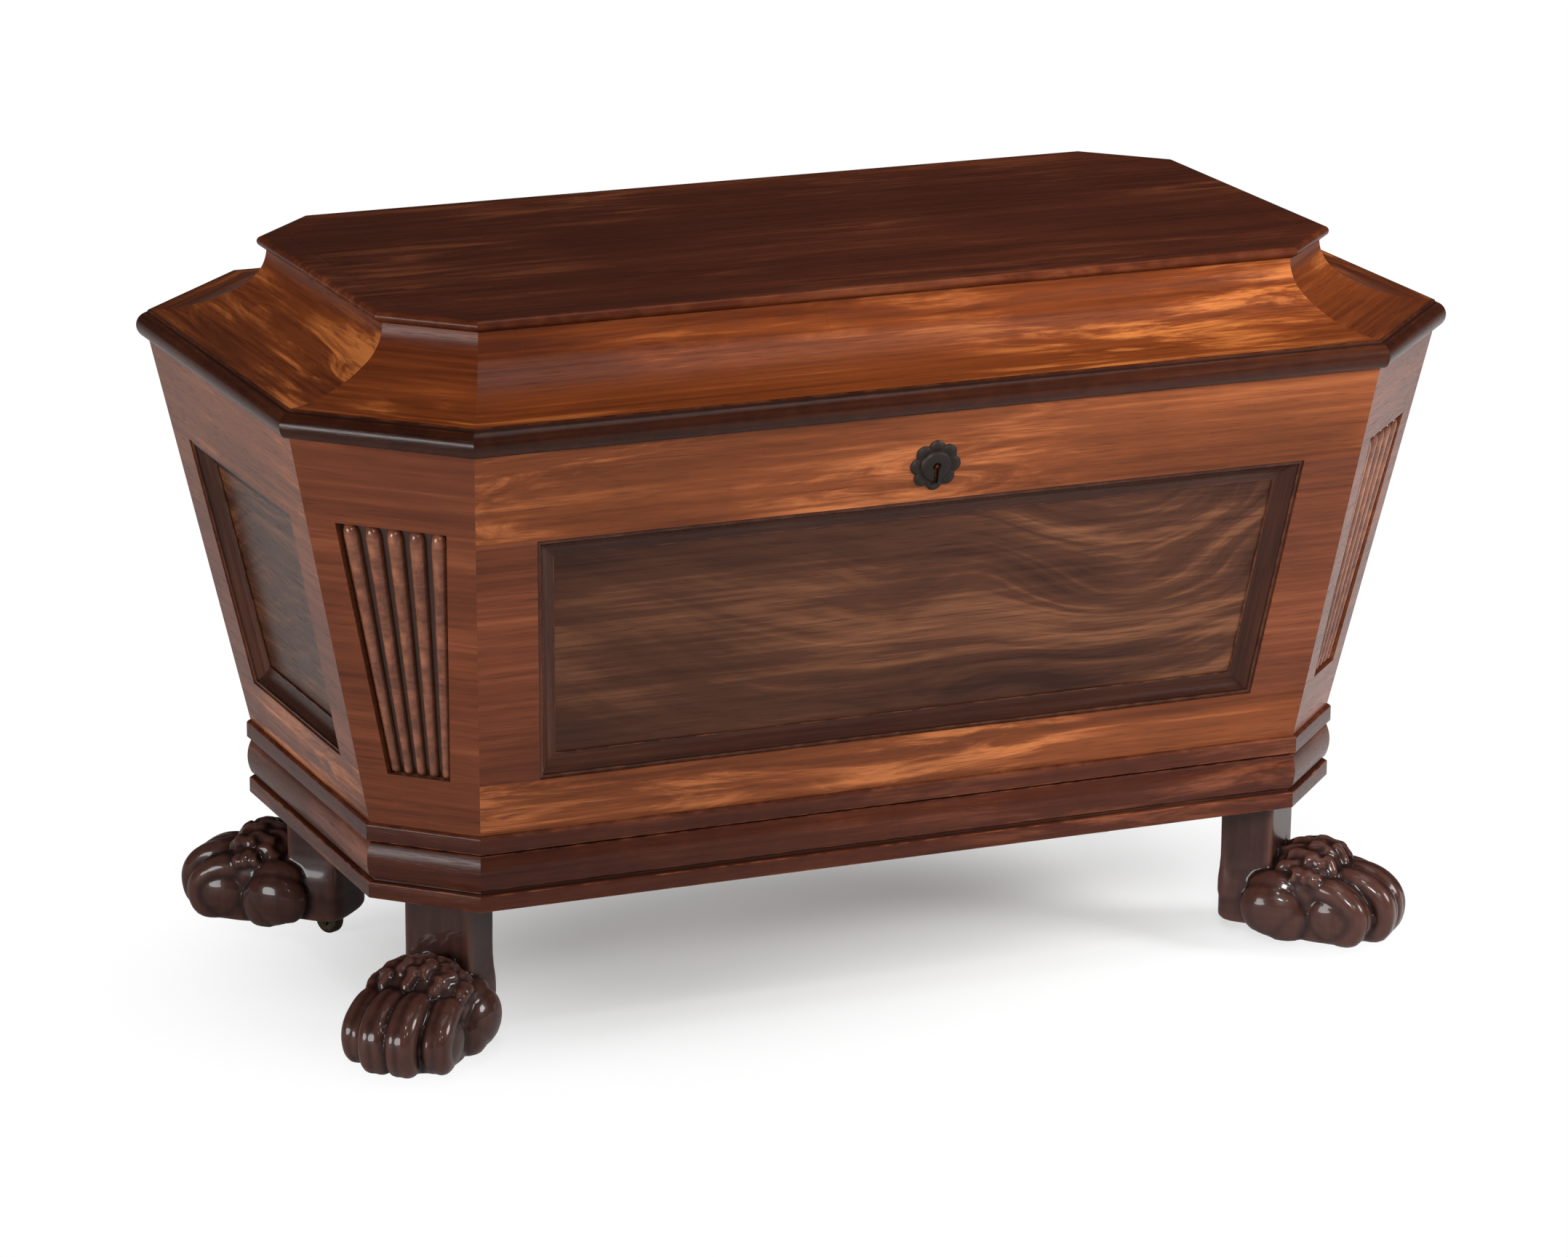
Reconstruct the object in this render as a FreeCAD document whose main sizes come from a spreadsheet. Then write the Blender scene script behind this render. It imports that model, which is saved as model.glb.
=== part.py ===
# A mahogany cellarette: a tapered wine cooler with canted corners, a coved lid and lion-paw feet.
#
# Frame: millimetres, X along the front, -Y towards the front, Z up from the floor, with the origin
# on the floor under the middle of the piece. Left and right are as seen from the front.
#
# The case, the plinth and the lid all follow one outline with eight sides. Each side has a frame of
# its own: X along the side, Y inwards from the top edge of the case, Z up from the floor. Pieces of
# a side are drawn in that frame and end on the mitre planes that it shares with its neighbours.

import FreeCAD, Part
import Sketcher
import math
import os
import re

# ---------------------------------------------------------------------------- driving dimensions

SIZES = {
    # Case
    "case_top_width": 793.0,
    "case_top_depth": 456.0,
    "corner_cut": 87.5,             # taken off each corner of the top outline, along both sides
    "case_height": 260.0,
    "case_lean": 57.2,              # how far every side leans in between top and bottom
    "wall": 22.0,                   # measured level, as all depths from a side's face are
    "top_rail_height": 60.0,
    "bottom_rail_height": 35.0,
    "long_side_stile": 40.0,
    "short_side_stile": 35.0,
    "panel_sink": 11.0,
    # Moulding round each panel
    "panel_moulding_width": 14.5,
    "panel_moulding_sink": 1.0,
    "panel_moulding_fillet": 2.6,
    "panel_moulding_toe": 1.6,
    # Reeded corners
    "reeding_top_drop": 54.0,       # below the top of the case
    "reeding_bottom_rise": 36.0,    # above the bottom of the case
    "reeding_top_width": 75.0,
    "reeding_bottom_width": 43.0,
    "reeding_sink": 6.5,
    "reeding_back": 1.5,
    "reed_rise_top": 5.0,
    "reed_rise_bottom": 3.8,
    # Plinth
    "underside_height": 104.0,      # floor to the underside of the plinth
    "plinth_height": 50.0,
    "plinth_thickness": 30.0,
    "plinth_bottom_band": 10.5,
    "plinth_deep_groove": 3.0,
    "plinth_torus": 23.0,
    "plinth_torus_round": 27.0,
    "plinth_fine_groove": 1.7,
    "plinth_band_proud": 2.4,
    "plinth_bottom_proud": 1.2,
    "plinth_edge_bevel": 1.4,
    "bottom_board": 14.0,
    "foot_block_depth": 36.0,
    # Lid
    "seam_gap": 0.3,                # the shut lid over the case
    "rim_height": 17.7,
    "rim_depth": 62.0,              # from the case's top outline inwards
    "rim_bottom_proud": 3.5,
    "rim_top_proud": 1.5,
    "rim_round": 9.4,
    "cove_width": 70.0,
    "cove_height": 41.5,
    "cove_neck_round": 28.0,
    "cove_stave": 20.0,             # thickness of the staves at the neck
    "cove_stave_edge": 18.0,        # height of their inner edge at the neck
    "lip_height": 7.5,
    "lip_round": 3.9,
    "lip_overhang": 4.0,            # of the lip's flat over the neck, before its round nose
    "lip_width": 17.0,
    # Lining and divisions
    "lining": 2.0,
    "lining_drop": 8.0,             # its edge below the top of the case
    "division": 6.0,
    "division_height": 110.0,
    "division_clearance": 0.5,
    "lap_clearance": 0.2,
    "cell_length": 105.0,
    "cell_width": 98.0,
    # Feet
    "leg_width": 46.0,
    "leg_depth": 36.0,
    "leg_setback": 17.0,            # behind the face of the case's bottom edge
    "paw_rise": 9.0,                # soles above the floor
    "paw_length": 74.0,             # from the toes' tips back to the end of the sole
    "paw_reach": 66.0,              # toes' tips beyond the case's bottom edge
    "sole_width": 64.0,
    "sole_setback": 22.0,           # behind the toes' tips
    "toe_spread": 19.0,
    "toe_width": 11.5,
    "toe_length": 27.0,
    "toe_height": 23.5,
    "toe_flat": 2.0,                # taken off the toes' undersides
    "toe_splay": 9.0,
    "toe_stagger": 8.0,             # the outer toes' tips behind the inner ones'
    "pad_width": 17.0,              # the rounded pads beside the heel
    "pad_length": 22.0,
    "pad_height": 17.0,
    "pad_spread": 48.0,
    "pad_depth": 80.0,
    "pad_rise": 33.0,
    "instep_width": 25.0,
    "instep_length": 28.0,
    "instep_height": 22.0,
    "instep_depth": 56.0,
    "instep_rise": 49.0,
    "heel_width": 54.0,
    "heel_height": 42.0,
    "heel_rise": 14.0,              # its underside above the floor
    "heel_proud": 2.5,              # of the leg's back
    "castor_recess_radius": 20.5,   # in the heel, with room for the wheel's swing
    "tenon_radius": 10.0,
    "tenon_margin": 2.5,            # wood between the tenon and the plinth
    "tenon_length": 28.0,
    # Castors
    "wheel_radius": 10.0,
    "wheel_width": 9.0,
    "wheel_edge_round": 2.5,
    "axle_radius": 2.0,
    "running_clearance": 0.06,
    "fork_gap": 0.5,                # between wheel and fork, each side
    "fork_cheek": 2.0,
    "fork_crown": 2.4,
    "fork_crown_radius": 9.5,
    "crown_gap": 1.2,               # wheel to crown
    "plate_gap": 0.3,               # crown to plate
    "trail": 9.5,
    "castor_plate": 2.0,
    "castor_plate_radius": 18.5,
    "castor_stem_radius": 3.0,
    "castor_socket_radius": 6.0,
    "castor_socket_depth": 18.0,
    "castor_setback": 30.0,         # swivel axis behind the face of the case's bottom edge
    "castor_screw_circle": 13.5,
    "castor_stem_gap": 0.6,         # stem's end to the socket's end
    # Hinges
    "hinge_length": 70.0,
    "hinge_place": 200.0,           # from the middle of the back
    "hinge_leaf": 1.5,
    "hinge_leaf_depth": 18.0,
    "knuckle_radius": 3.2,
    "knuckle_standoff": 0.4,        # knuckle to the case's back edge
    "knuckle_end_gap": 0.3,
    "hinge_pin_radius": 1.5,
    "hinge_screw_step": 25.0,
    # Screws
    "screw_shank": 1.6,
    "screw_head": 3.2,
    "screw_length": 13.0,
    "screw_head_depth": 1.4,
    # Lock
    "lock_length": 68.0,
    "lock_thickness": 12.0,
    "lock_height": 50.0,
    "lock_wall": 1.2,
    "lock_setback": 4.7,            # its front behind the face of the rail
    "lock_top_drop": 4.3,           # down the face, so that the tilted top stays in the rail
    "lock_plate": 2.0,
    "lock_plate_length": 84.0,
    "lock_plate_width": 14.0,
    "keyhole_drop": 37.0,           # down the face from the case's top edge
    "keyhole_radius": 2.8,
    "keyhole_slot": 3.0,
    "keyhole_tail": 11.5,
    "bolt_clearance": 0.3,
    "bolt_post": 3.0,
    "bolt_height": 8.0,
    "bolt_guide": 3.0,
    "bolt_travel": 7.0,
    "bolt_finger_radius": 1.1,
    "bolt_gap": 0.5,                # finger to link while the lock is open
    "link_place": 18.0,
    "link_thickness": 2.5,
    "link_width": 5.6,
    "link_drop": 11.0,
    "link_eye_width": 3.0,
    "link_eye_height": 3.8,
    "link_slot_room": 1.2,
    "link_plate": 1.8,
    "link_plate_length": 64.0,
    "link_plate_width": 13.0,
    # Escutcheon
    "escutcheon_disc": 12.5,
    "escutcheon_lobe": 4.9,
    "escutcheon_thickness": 1.8,
    "escutcheon_boss": 10.0,
    "escutcheon_boss_rise": 1.6,
}

PANEL_SIDES = ("front", "right", "back", "left")
LOBES = 8
REEDS = 5
LONG_DIVISIONS = 2
CROSS_DIVISIONS = 5

doc = FreeCAD.newDocument("cellarette")
sheet = doc.addObject("Spreadsheet::Sheet", "Sizes")
for row, (alias, number) in enumerate(SIZES.items(), start=1):
    sheet.set(f"A{row}", alias.replace("_", " "))
    sheet.set(f"B{row}", str(number))
    sheet.setAlias(f"B{row}", alias)
doc.recompute()

# ------------------------------------------------------------------ levels and sides, as formulas

MITRE = "tan(22.5)"
LEAN = "atan(case_lean / case_height)"
HALF_WIDTH = "(case_top_width / 2)"
HALF_DEPTH = "(case_top_depth / 2)"
CASE_BOTTOM = "(underside_height + plinth_height)"
CASE_TOP = f"({CASE_BOTTOM} + case_height)"
LID_BOTTOM = f"({CASE_TOP} + seam_gap)"
RIM_TOP = f"({LID_BOTTOM} + rim_height)"
NECK_TOP = f"({RIM_TOP} + cove_height)"
LID_TOP = f"({NECK_TOP} + lip_height)"
OPENING_TOP = f"({CASE_TOP} - top_rail_height)"
OPENING_BOTTOM = f"({CASE_BOTTOM} + bottom_rail_height)"
FLOOR_OF_CELLS = f"({CASE_BOTTOM} + lining)"
CELL_TOP = f"({FLOOR_OF_CELLS} + division_height)"
NECK_INSET = f"(rim_top_proud + cove_width)"
LIP_INSET = f"({NECK_INSET} - lip_overhang)"
LIP_BACK = f"({LIP_INSET} + lip_width)"
PLINTH_BACK = "(case_lean + plinth_thickness)"
HINGE_AXIS_DEPTH = "(knuckle_radius + knuckle_standoff)"
HINGE_AXIS_HEIGHT = f"({CASE_TOP} + seam_gap / 2)"
AXLE_HEIGHT = "wheel_radius"
CROWN_BOTTOM = "(wheel_radius * 2 + crown_gap)"
CROWN_TOP = f"({CROWN_BOTTOM} + fork_crown)"
PLATE_BOTTOM = f"({CROWN_TOP} + plate_gap)"
RECESS_TOP = f"({PLATE_BOTTOM} + castor_plate)"
SWIVEL_DEPTH = "(case_lean + castor_setback)"
TENON_DEPTH = f"({PLINTH_BACK} + tenon_margin + tenon_radius)"


class Side:
    """One of the eight sides of the outline: its turn, half its length and its middle."""

    def __init__(self, name, turn, half, middle_x, middle_y):
        self.name = name
        self.turn = turn
        self.half = half
        self.middle_x = middle_x
        self.middle_y = middle_y


CANT_HALF = "(corner_cut / sqrt(2))"
CANT_X = f"({HALF_WIDTH} - corner_cut / 2)"
CANT_Y = f"({HALF_DEPTH} - corner_cut / 2)"
SIDES = [
    Side("front", 0, f"({HALF_WIDTH} - corner_cut)", "0", f"(-{HALF_DEPTH})"),
    Side("front_right", 45, CANT_HALF, CANT_X, f"(-{CANT_Y})"),
    Side("right", 90, f"({HALF_DEPTH} - corner_cut)", HALF_WIDTH, "0"),
    Side("back_right", 135, CANT_HALF, CANT_X, CANT_Y),
    Side("back", 180, f"({HALF_WIDTH} - corner_cut)", "0", HALF_DEPTH),
    Side("back_left", 225, CANT_HALF, f"(-{CANT_X})", CANT_Y),
    Side("left", 270, f"({HALF_DEPTH} - corner_cut)", f"(-{HALF_WIDTH})", "0"),
    Side("front_left", 315, CANT_HALF, f"(-{CANT_X})", f"(-{CANT_Y})"),
]
SIDE = {side.name: side for side in SIDES}
CORNERS = [side for side in SIDES if side.name not in PANEL_SIDES]
# How far each castor stands turned from pointing straight inwards.
CASTOR_TURNS = {"front_right": 180, "back_right": 35, "back_left": -20, "front_left": 20}

# --------------------------------------------------------------------------------- small helpers

parts = {}


def sized(text):
    """The formula with every size name pointed at the spreadsheet."""
    def point(found):
        word = found.group()
        return "Sizes." + word if word in SIZES else word
    return re.sub(r"[a-z][a-z_]*[a-z]", point, str(text))


def value(text):
    """The formula's value as a plain number."""
    return float(sheet.evalExpression(sized(text)))


def bind(item, prop, text):
    item.setExpression(prop, sized(text))


def keep(node, item):
    """Names the object that a sub-part is exported from."""
    item.Label = node
    parts[node] = item
    return item


def move(item, x="0", y="0", z="0"):
    bind(item, "Placement.Base.x", x)
    bind(item, "Placement.Base.y", y)
    bind(item, "Placement.Base.z", z)
    return item


def stand(item, side):
    """Puts an object that was drawn in a side's frame where that side is."""
    item.Placement.Rotation = FreeCAD.Rotation(FreeCAD.Vector(0, 0, 1), side.turn)
    return move(item, side.middle_x, side.middle_y)


def lean_at(height):
    """Depth of the leaning face at a height."""
    return f"(case_lean * ({CASE_TOP} - ({height})) / case_height)"


def reach(side, depth):
    """Half the length of a side at a depth, where the mitres cut it."""
    return f"({side.half} - ({depth}) * {MITRE})"


def new_body(name):
    return doc.addObject("PartDesign::Body", name)


def box(name, x, y, z, length, width, height):
    item = doc.addObject("Part::Box", name)
    bind(item, "Length", length)
    bind(item, "Width", width)
    bind(item, "Height", height)
    return move(item, x, y, z)


def cylinder(name, radius, height, x="0", y="0", z="0", along="z"):
    item = doc.addObject("Part::Cylinder", name)
    bind(item, "Radius", radius)
    bind(item, "Height", height)
    if along == "x":
        item.Placement.Rotation = FreeCAD.Rotation(FreeCAD.Vector(0, 1, 0), 90)
    return move(item, x, y, z)


def lean_from_front(item, x, y, z):
    """Places an object in the frame that leans with the front: origin on the face's top edge,
    Y inwards square to the face and Z up along the face."""
    item.Placement.Rotation = FreeCAD.Rotation(FreeCAD.Vector(1, 0, 0), 1)
    bind(item, "Placement.Rotation.Angle", LEAN)
    return move(item, x, f"-{HALF_DEPTH} + ({y}) * cos({LEAN}) - ({z}) * sin({LEAN})",
                f"{CASE_TOP} + ({y}) * sin({LEAN}) + ({z}) * cos({LEAN})")


def fuse(name, items):
    item = doc.addObject("Part::MultiFuse", name)
    item.Shapes = items
    item.Refine = True
    return item


def group(name, items):
    item = doc.addObject("Part::Compound", name)
    item.Links = items
    return item


def cut(name, base, tools):
    """The base with the tools taken out of it."""
    item = doc.addObject("Part::Cut", name)
    item.Base = base
    item.Tool = tools[0] if len(tools) == 1 else fuse(name + "_tools", tools)
    return item


def arc_between(start, end, radius, bend):
    """The short arc from start to end. Bend 1 has its centre on the left of the way, -1 on the
    right."""
    chord = end - start
    half = chord.Length / 2
    rise = math.sqrt(max(radius * radius - half * half, 0.0))
    left = FreeCAD.Vector(-chord.y, chord.x, 0).normalize()
    centre = (start + end) * 0.5 + left * (rise * bend)
    first, last = (start, end) if bend > 0 else (end, start)
    start_angle = math.atan2(first.y - centre.y, first.x - centre.x)
    end_angle = math.atan2(last.y - centre.y, last.x - centre.x)
    circle = Part.Circle(centre, FreeCAD.Vector(0, 0, 1), radius)
    return Part.ArcOfCircle(circle, start_angle, end_angle)


def draw_loop(sketch, points):
    """Adds a closed outline whose corners are tied to formulas. A point is (x, y), or
    (x, y, radius, bend) where the line that leaves it is an arc."""
    first_edge = sketch.GeometryCount
    places = [FreeCAD.Vector(value(point[0]), value(point[1]), 0) for point in points]
    starts, ends = [], []
    for number, point in enumerate(points):
        here, there = places[number], places[(number + 1) % len(points)]
        if len(point) == 2:
            sketch.addGeometry(Part.LineSegment(here, there))
            starts.append(1)
            ends.append(2)
        else:
            sketch.addGeometry(arc_between(here, there, value(point[2]), point[3]))
            starts.append(1 if point[3] > 0 else 2)
            ends.append(2 if point[3] > 0 else 1)
    for number, point in enumerate(points):
        edge = first_edge + number
        following = (number + 1) % len(points)
        sketch.addConstraint(Sketcher.Constraint(
            "Coincident", edge, ends[number], first_edge + following, starts[following]))
        for kind, text, at in (("DistanceX", point[0], places[number].x),
                               ("DistanceY", point[1], places[number].y)):
            which = sketch.addConstraint(Sketcher.Constraint(kind, -1, 1, edge, starts[number], at))
            bind(sketch, f"Constraints[{which}]", text)
        if len(point) > 2:
            which = sketch.addConstraint(Sketcher.Constraint("Radius", edge, value(point[2])))
            bind(sketch, f"Constraints[{which}]", point[2])


def new_sketch(body, name, plane, offset="0"):
    """An empty sketch on one of the body's own planes, moved along that plane's normal."""
    sketch = body.newObject("Sketcher::SketchObject", name)
    support = [item for item in body.Origin.OriginFeatures if item.Role == plane][0]
    sketch.AttachmentSupport = (support, "")
    sketch.MapMode = "FlatFace"
    bind(sketch, "AttachmentOffset.Base.z", offset)
    return sketch


def outline(body, name, plane, points, offset="0"):
    sketch = new_sketch(body, name, plane, offset)
    draw_loop(sketch, points)
    return sketch


def draw_circle(sketch, x, y, radius):
    centre = FreeCAD.Vector(value(x), value(y), 0)
    edge = sketch.addGeometry(Part.Circle(centre, FreeCAD.Vector(0, 0, 1), value(radius)))
    for kind, text, at in (("DistanceX", x, centre.x), ("DistanceY", y, centre.y)):
        which = sketch.addConstraint(Sketcher.Constraint(kind, -1, 1, edge, 3, at))
        bind(sketch, f"Constraints[{which}]", text)
    which = sketch.addConstraint(Sketcher.Constraint("Radius", edge, value(radius)))
    bind(sketch, f"Constraints[{which}]", radius)


def circle(body, name, plane, x, y, radius, offset="0"):
    sketch = new_sketch(body, name, plane, offset)
    draw_circle(sketch, x, y, radius)
    return sketch


def pad(body, sketch, length, side_type="One side"):
    feature = body.newObject("PartDesign::Pad", sketch.Name + "_pad")
    feature.Profile = sketch
    feature.SideType = side_type
    bind(feature, "Length", length)
    return feature


def pocket(body, sketch):
    """Cuts right through the body, both ways from the sketch."""
    feature = body.newObject("PartDesign::Pocket", sketch.Name + "_pocket")
    feature.Profile = sketch
    feature.Type = "ThroughAll"
    feature.SideType = "Symmetric"
    return feature


def loft(body, low, high, taken_out=False):
    kind = "PartDesign::SubtractiveLoft" if taken_out else "PartDesign::AdditiveLoft"
    feature = body.newObject(kind, low.Name + "_loft")
    feature.Profile = low
    feature.Sections = [high]
    feature.Ruled = True
    return feature


def tapered_board(name, side, bottom, top, corners):
    """A board between two level sections: corners gives a section's outline at a height."""
    body = new_body(name)
    loft(body, outline(body, name + "_low", "XY_Plane", corners(bottom), bottom),
         outline(body, name + "_high", "XY_Plane", corners(top), top))
    return stand(body, side)


def moulded_length(name, side, profile, outward, inward):
    """A length of moulding along a side, cut to its mitres. The profile's points are (depth,
    height); it lies between the depths -outward and inward."""
    body = new_body(name)
    section = outline(body, name + "_section", "YZ_Plane", profile)
    pad(body, section, f"2 * {reach(side, '-(' + outward + ')')}", "Symmetric")
    ends = new_sketch(body, name + "_ends", "XY_Plane")
    for hand in (1, -1):
        out = f"{hand} * ({reach(side, '-(' + outward + ')')})"
        waste = f"{hand} * ({reach(side, '-(' + outward + ')')} + wall)"
        draw_loop(ends, [(out, f"-({outward})"), (waste, f"-({outward})"), (waste, inward),
                         (f"{hand} * ({reach(side, inward)})", inward)])
    pocket(body, ends)
    return stand(body, side)


# ------------------------------------------------------------------------------------------ case

def stile_of(side):
    return "long_side_stile" if side.name in ("front", "back") else "short_side_stile"


def wall_section(side):
    """The whole thickness of a side, mitred at both ends, at a height."""
    def corners(height):
        face = lean_at(height)
        back = f"({face} + wall)"
        return [(f"-{reach(side, face)}", face), (reach(side, face), face),
                (reach(side, back), back), (f"-{reach(side, back)}", back)]
    return corners


def opening_half(side, height):
    """Half the width of the framed opening of a side at a height."""
    return f"({reach(side, lean_at(height))} - {stile_of(side)})"


def stile_section(side, hand):
    def corners(height):
        face = lean_at(height)
        back = f"({face} + wall)"
        inner = f"{hand} * {opening_half(side, height)}"
        return [(inner, face), (f"{hand} * {reach(side, face)}", face),
                (f"{hand} * {reach(side, back)}", back), (inner, back)]
    return corners


def panel_section(side):
    def corners(height):
        front = f"({lean_at(height)} + panel_sink)"
        back = f"({lean_at(height)} + wall)"
        half = opening_half(side, height)
        return [(f"-{half}", front), (half, front), (half, back), (f"-{half}", back)]
    return corners


def ruled_solid(first, second):
    """The solid between two sections whose edges match one for one."""
    faces = [Part.makeRuledSurface(here, there)
             for here, there in zip(first.Edges, second.Edges)]
    shell = Part.makeShell(faces + [Part.Face(first), Part.Face(second)])
    shell.sewShape()
    solid = Part.makeSolid(shell)
    if solid.Volume < 0:
        solid.reverse()
    return solid


def panel_moulding(side):
    """Four mitred lengths inside the opening, on the face of the panel. The profile is drawn with
    its distance from the opening's edge along X and its depth behind the face along Y, and is laid
    onto each corner's mitre plane."""
    sink, width = value("panel_moulding_sink"), value("panel_moulding_width")
    fillet, toe = value("panel_moulding_fillet"), value("panel_moulding_toe")
    depth = value("panel_sink")
    shoulder = FreeCAD.Vector(fillet, sink + toe, 0)
    foot = FreeCAD.Vector(width - toe, depth - toe, 0)
    hollow = (shoulder + foot) * 0.5 + FreeCAD.Vector(1, -1, 0) * (fillet / 2)
    edges = [Part.Arc(shoulder, hollow, foot).toShape()]
    straight = [foot, FreeCAD.Vector(width, depth - toe, 0), FreeCAD.Vector(width, depth, 0),
                FreeCAD.Vector(0, depth, 0), FreeCAD.Vector(0, sink, 0),
                FreeCAD.Vector(fillet, sink, 0), shoulder]
    edges += [Part.makeLine(here, there) for here, there in zip(straight, straight[1:])]
    profile = Part.Wire(edges)

    def laid_on(hand, up):
        def spot(inset, back):
            height = value(OPENING_TOP if up > 0 else OPENING_BOTTOM) - up * inset
            half = value(opening_half(side, str(height))) - inset
            return FreeCAD.Vector(hand * half, value(lean_at(str(height))) + back, height)
        start = spot(0, 0)
        across, inwards = spot(1, 0) - start, spot(0, 1) - start
        normal = across.cross(inwards).normalize()
        matrix = FreeCAD.Matrix(across.x, inwards.x, normal.x, start.x,
                                across.y, inwards.y, normal.y, start.y,
                                across.z, inwards.z, normal.z, start.z)
        return profile.transformGeometry(matrix)

    corners = [(-1, -1), (1, -1), (1, 1), (-1, 1)]
    sections = [laid_on(hand, up) for hand, up in corners]
    lengths = [ruled_solid(sections[number], sections[(number + 1) % 4]) for number in range(4)]
    item = doc.addObject("Part::Feature", side.name + "_panel_moulding")
    item.Shape = Part.Compound(lengths)
    return stand(item, side)


def panelled_side(side):
    name = side.name
    top_rail = tapered_board(name + "_top_rail", side, OPENING_TOP, CASE_TOP, wall_section(side))
    keep(name + "_bottom_rail", tapered_board(name + "_bottom_rail", side, CASE_BOTTOM,
                                              OPENING_BOTTOM, wall_section(side)))
    stiles = [tapered_board(f"{name}_stile_{hand + 1}", side, OPENING_BOTTOM, OPENING_TOP,
                            stile_section(side, hand)) for hand in (-1, 1)]
    keep(name + "_stiles", group(name + "_stiles", stiles))
    keep(name + "_panel", tapered_board(name + "_panel", side, OPENING_BOTTOM, OPENING_TOP,
                                        panel_section(side)))
    keep(name + "_panel_moulding", panel_moulding(side))
    return top_rail


REEDING_TOP = f"({CASE_TOP} - reeding_top_drop)"
REEDING_BOTTOM = f"({CASE_BOTTOM} + reeding_bottom_rise)"


def reeding_half(end):
    return f"(reeding_{end}_width / 2)"


def corner_board(side):
    """A canted corner board with a sunk, tapered field for the reeding."""
    name = side.name + "_corner_board"
    board = tapered_board(name, side, CASE_BOTTOM, CASE_TOP, wall_section(side))
    fields = []
    for end, height in (("bottom", REEDING_BOTTOM), ("top", REEDING_TOP)):
        front = f"({lean_at(height)} - wall)"
        back = f"({lean_at(height)} + reeding_sink)"
        half = reeding_half(end)
        fields.append(outline(board, f"{name}_field_{end}", "XY_Plane", [
            (f"-{half}", front), (half, front), (half, back), (f"-{half}", back)], height))
    loft(board, fields[0], fields[1], taken_out=True)
    return keep(name, board)


def corner_reeding(side):
    """Five tapering reeds on a thin back, let into the corner board's field."""
    name = side.name + "_corner_reeding"
    body = new_body(name)
    sections = []
    for end, height in (("bottom", REEDING_BOTTOM), ("top", REEDING_TOP)):
        back = f"({lean_at(height)} + reeding_sink)"
        valley = f"({back} - reeding_back)"
        step = f"(reeding_{end}_width / {REEDS})"
        rise = f"reed_rise_{end}"
        radius = f"(({step} ^ 2 / 4 + {rise} ^ 2) / (2 * {rise}))"
        half = reeding_half(end)
        points = [(f"-{half} + {number} * {step}", valley, radius, 1) for number in range(REEDS)]
        points += [(half, valley), (half, back), (f"-{half}", back)]
        sections.append(outline(body, f"{name}_{end}", "XY_Plane", points, height))
    loft(body, sections[0], sections[1])
    return keep(name, stand(body, side))


# ---------------------------------------------------------------------------------------- plinth

def plinth_profile():
    """From the underside up: a flat band, a deep groove, a shallow round, a fine groove and a
    band with a bevelled top edge."""
    bottom_face = "(case_lean - plinth_bottom_proud)"
    deep = "(case_lean + plinth_deep_groove)"
    band_face = "(case_lean - plinth_band_proud)"
    groove_low = "(underside_height + plinth_bottom_band)"
    groove_high = f"({groove_low} + plinth_deep_groove)"
    round_high = f"({groove_high} + plinth_torus)"
    band_low = f"({round_high} + plinth_fine_groove)"
    return [
        (PLINTH_BACK, "underside_height"), (bottom_face, "underside_height"),
        (bottom_face, groove_low), (deep, groove_low), (deep, groove_high),
        ("case_lean", groove_high, "plinth_torus_round", -1), ("case_lean", round_high),
        (f"(case_lean + plinth_fine_groove)", round_high),
        (f"(case_lean + plinth_fine_groove)", band_low),
        (band_face, band_low), (band_face, f"({CASE_BOTTOM} - plinth_edge_bevel)"),
        (f"({band_face} + plinth_edge_bevel)", CASE_BOTTOM), (PLINTH_BACK, CASE_BOTTOM),
    ]


def plinth():
    lengths = [moulded_length(side.name + "_plinth", side, plinth_profile(),
                              "plinth_band_proud", PLINTH_BACK) for side in SIDES]
    keep("plinth_moulding", group("plinth_moulding", lengths))


def octagon(inset):
    """The outline's corners, set in by an inset from the case's top outline."""
    half_x = f"({HALF_WIDTH} - ({inset}))"
    half_y = f"({HALF_DEPTH} - ({inset}))"
    flat_x = f"({HALF_WIDTH} - corner_cut - ({inset}) * {MITRE})"
    flat_y = f"({HALF_DEPTH} - corner_cut - ({inset}) * {MITRE})"
    return [(flat_x, f"-{half_y}"), (half_x, f"-{flat_y}"), (half_x, flat_y), (flat_x, half_y),
            (f"-{flat_x}", half_y), (f"-{half_x}", flat_y), (f"-{half_x}", f"-{flat_y}"),
            (f"-{flat_x}", f"-{half_y}")]


def flat_octagon(node, inset, bottom, thickness):
    body = new_body(node)
    pad(body, outline(body, node + "_outline", "XY_Plane", octagon(inset), bottom), thickness)
    return keep(node, body)


def foot_blocks():
    """Four blocks in the corners of the plinth, bored for the tenons of the feet."""
    height = f"{CASE_BOTTOM} - bottom_board - underside_height"
    blocks = []
    for side in CORNERS:
        name = side.name + "_foot_block"
        body = new_body(name)
        near = reach(side, PLINTH_BACK)
        far = f"({near} + foot_block_depth)"
        back = f"({PLINTH_BACK} + foot_block_depth)"
        plan = outline(body, name + "_plan", "XY_Plane", [
            (f"-{near}", PLINTH_BACK), (near, PLINTH_BACK), (far, back), (f"-{far}", back)],
            "underside_height")
        draw_circle(plan, "0", TENON_DEPTH, "tenon_radius")
        pad(body, plan, height)
        blocks.append(stand(body, side))
    keep("foot_blocks", group("foot_blocks", blocks))


# ------------------------------------------------------------------------- lining and divisions

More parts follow.
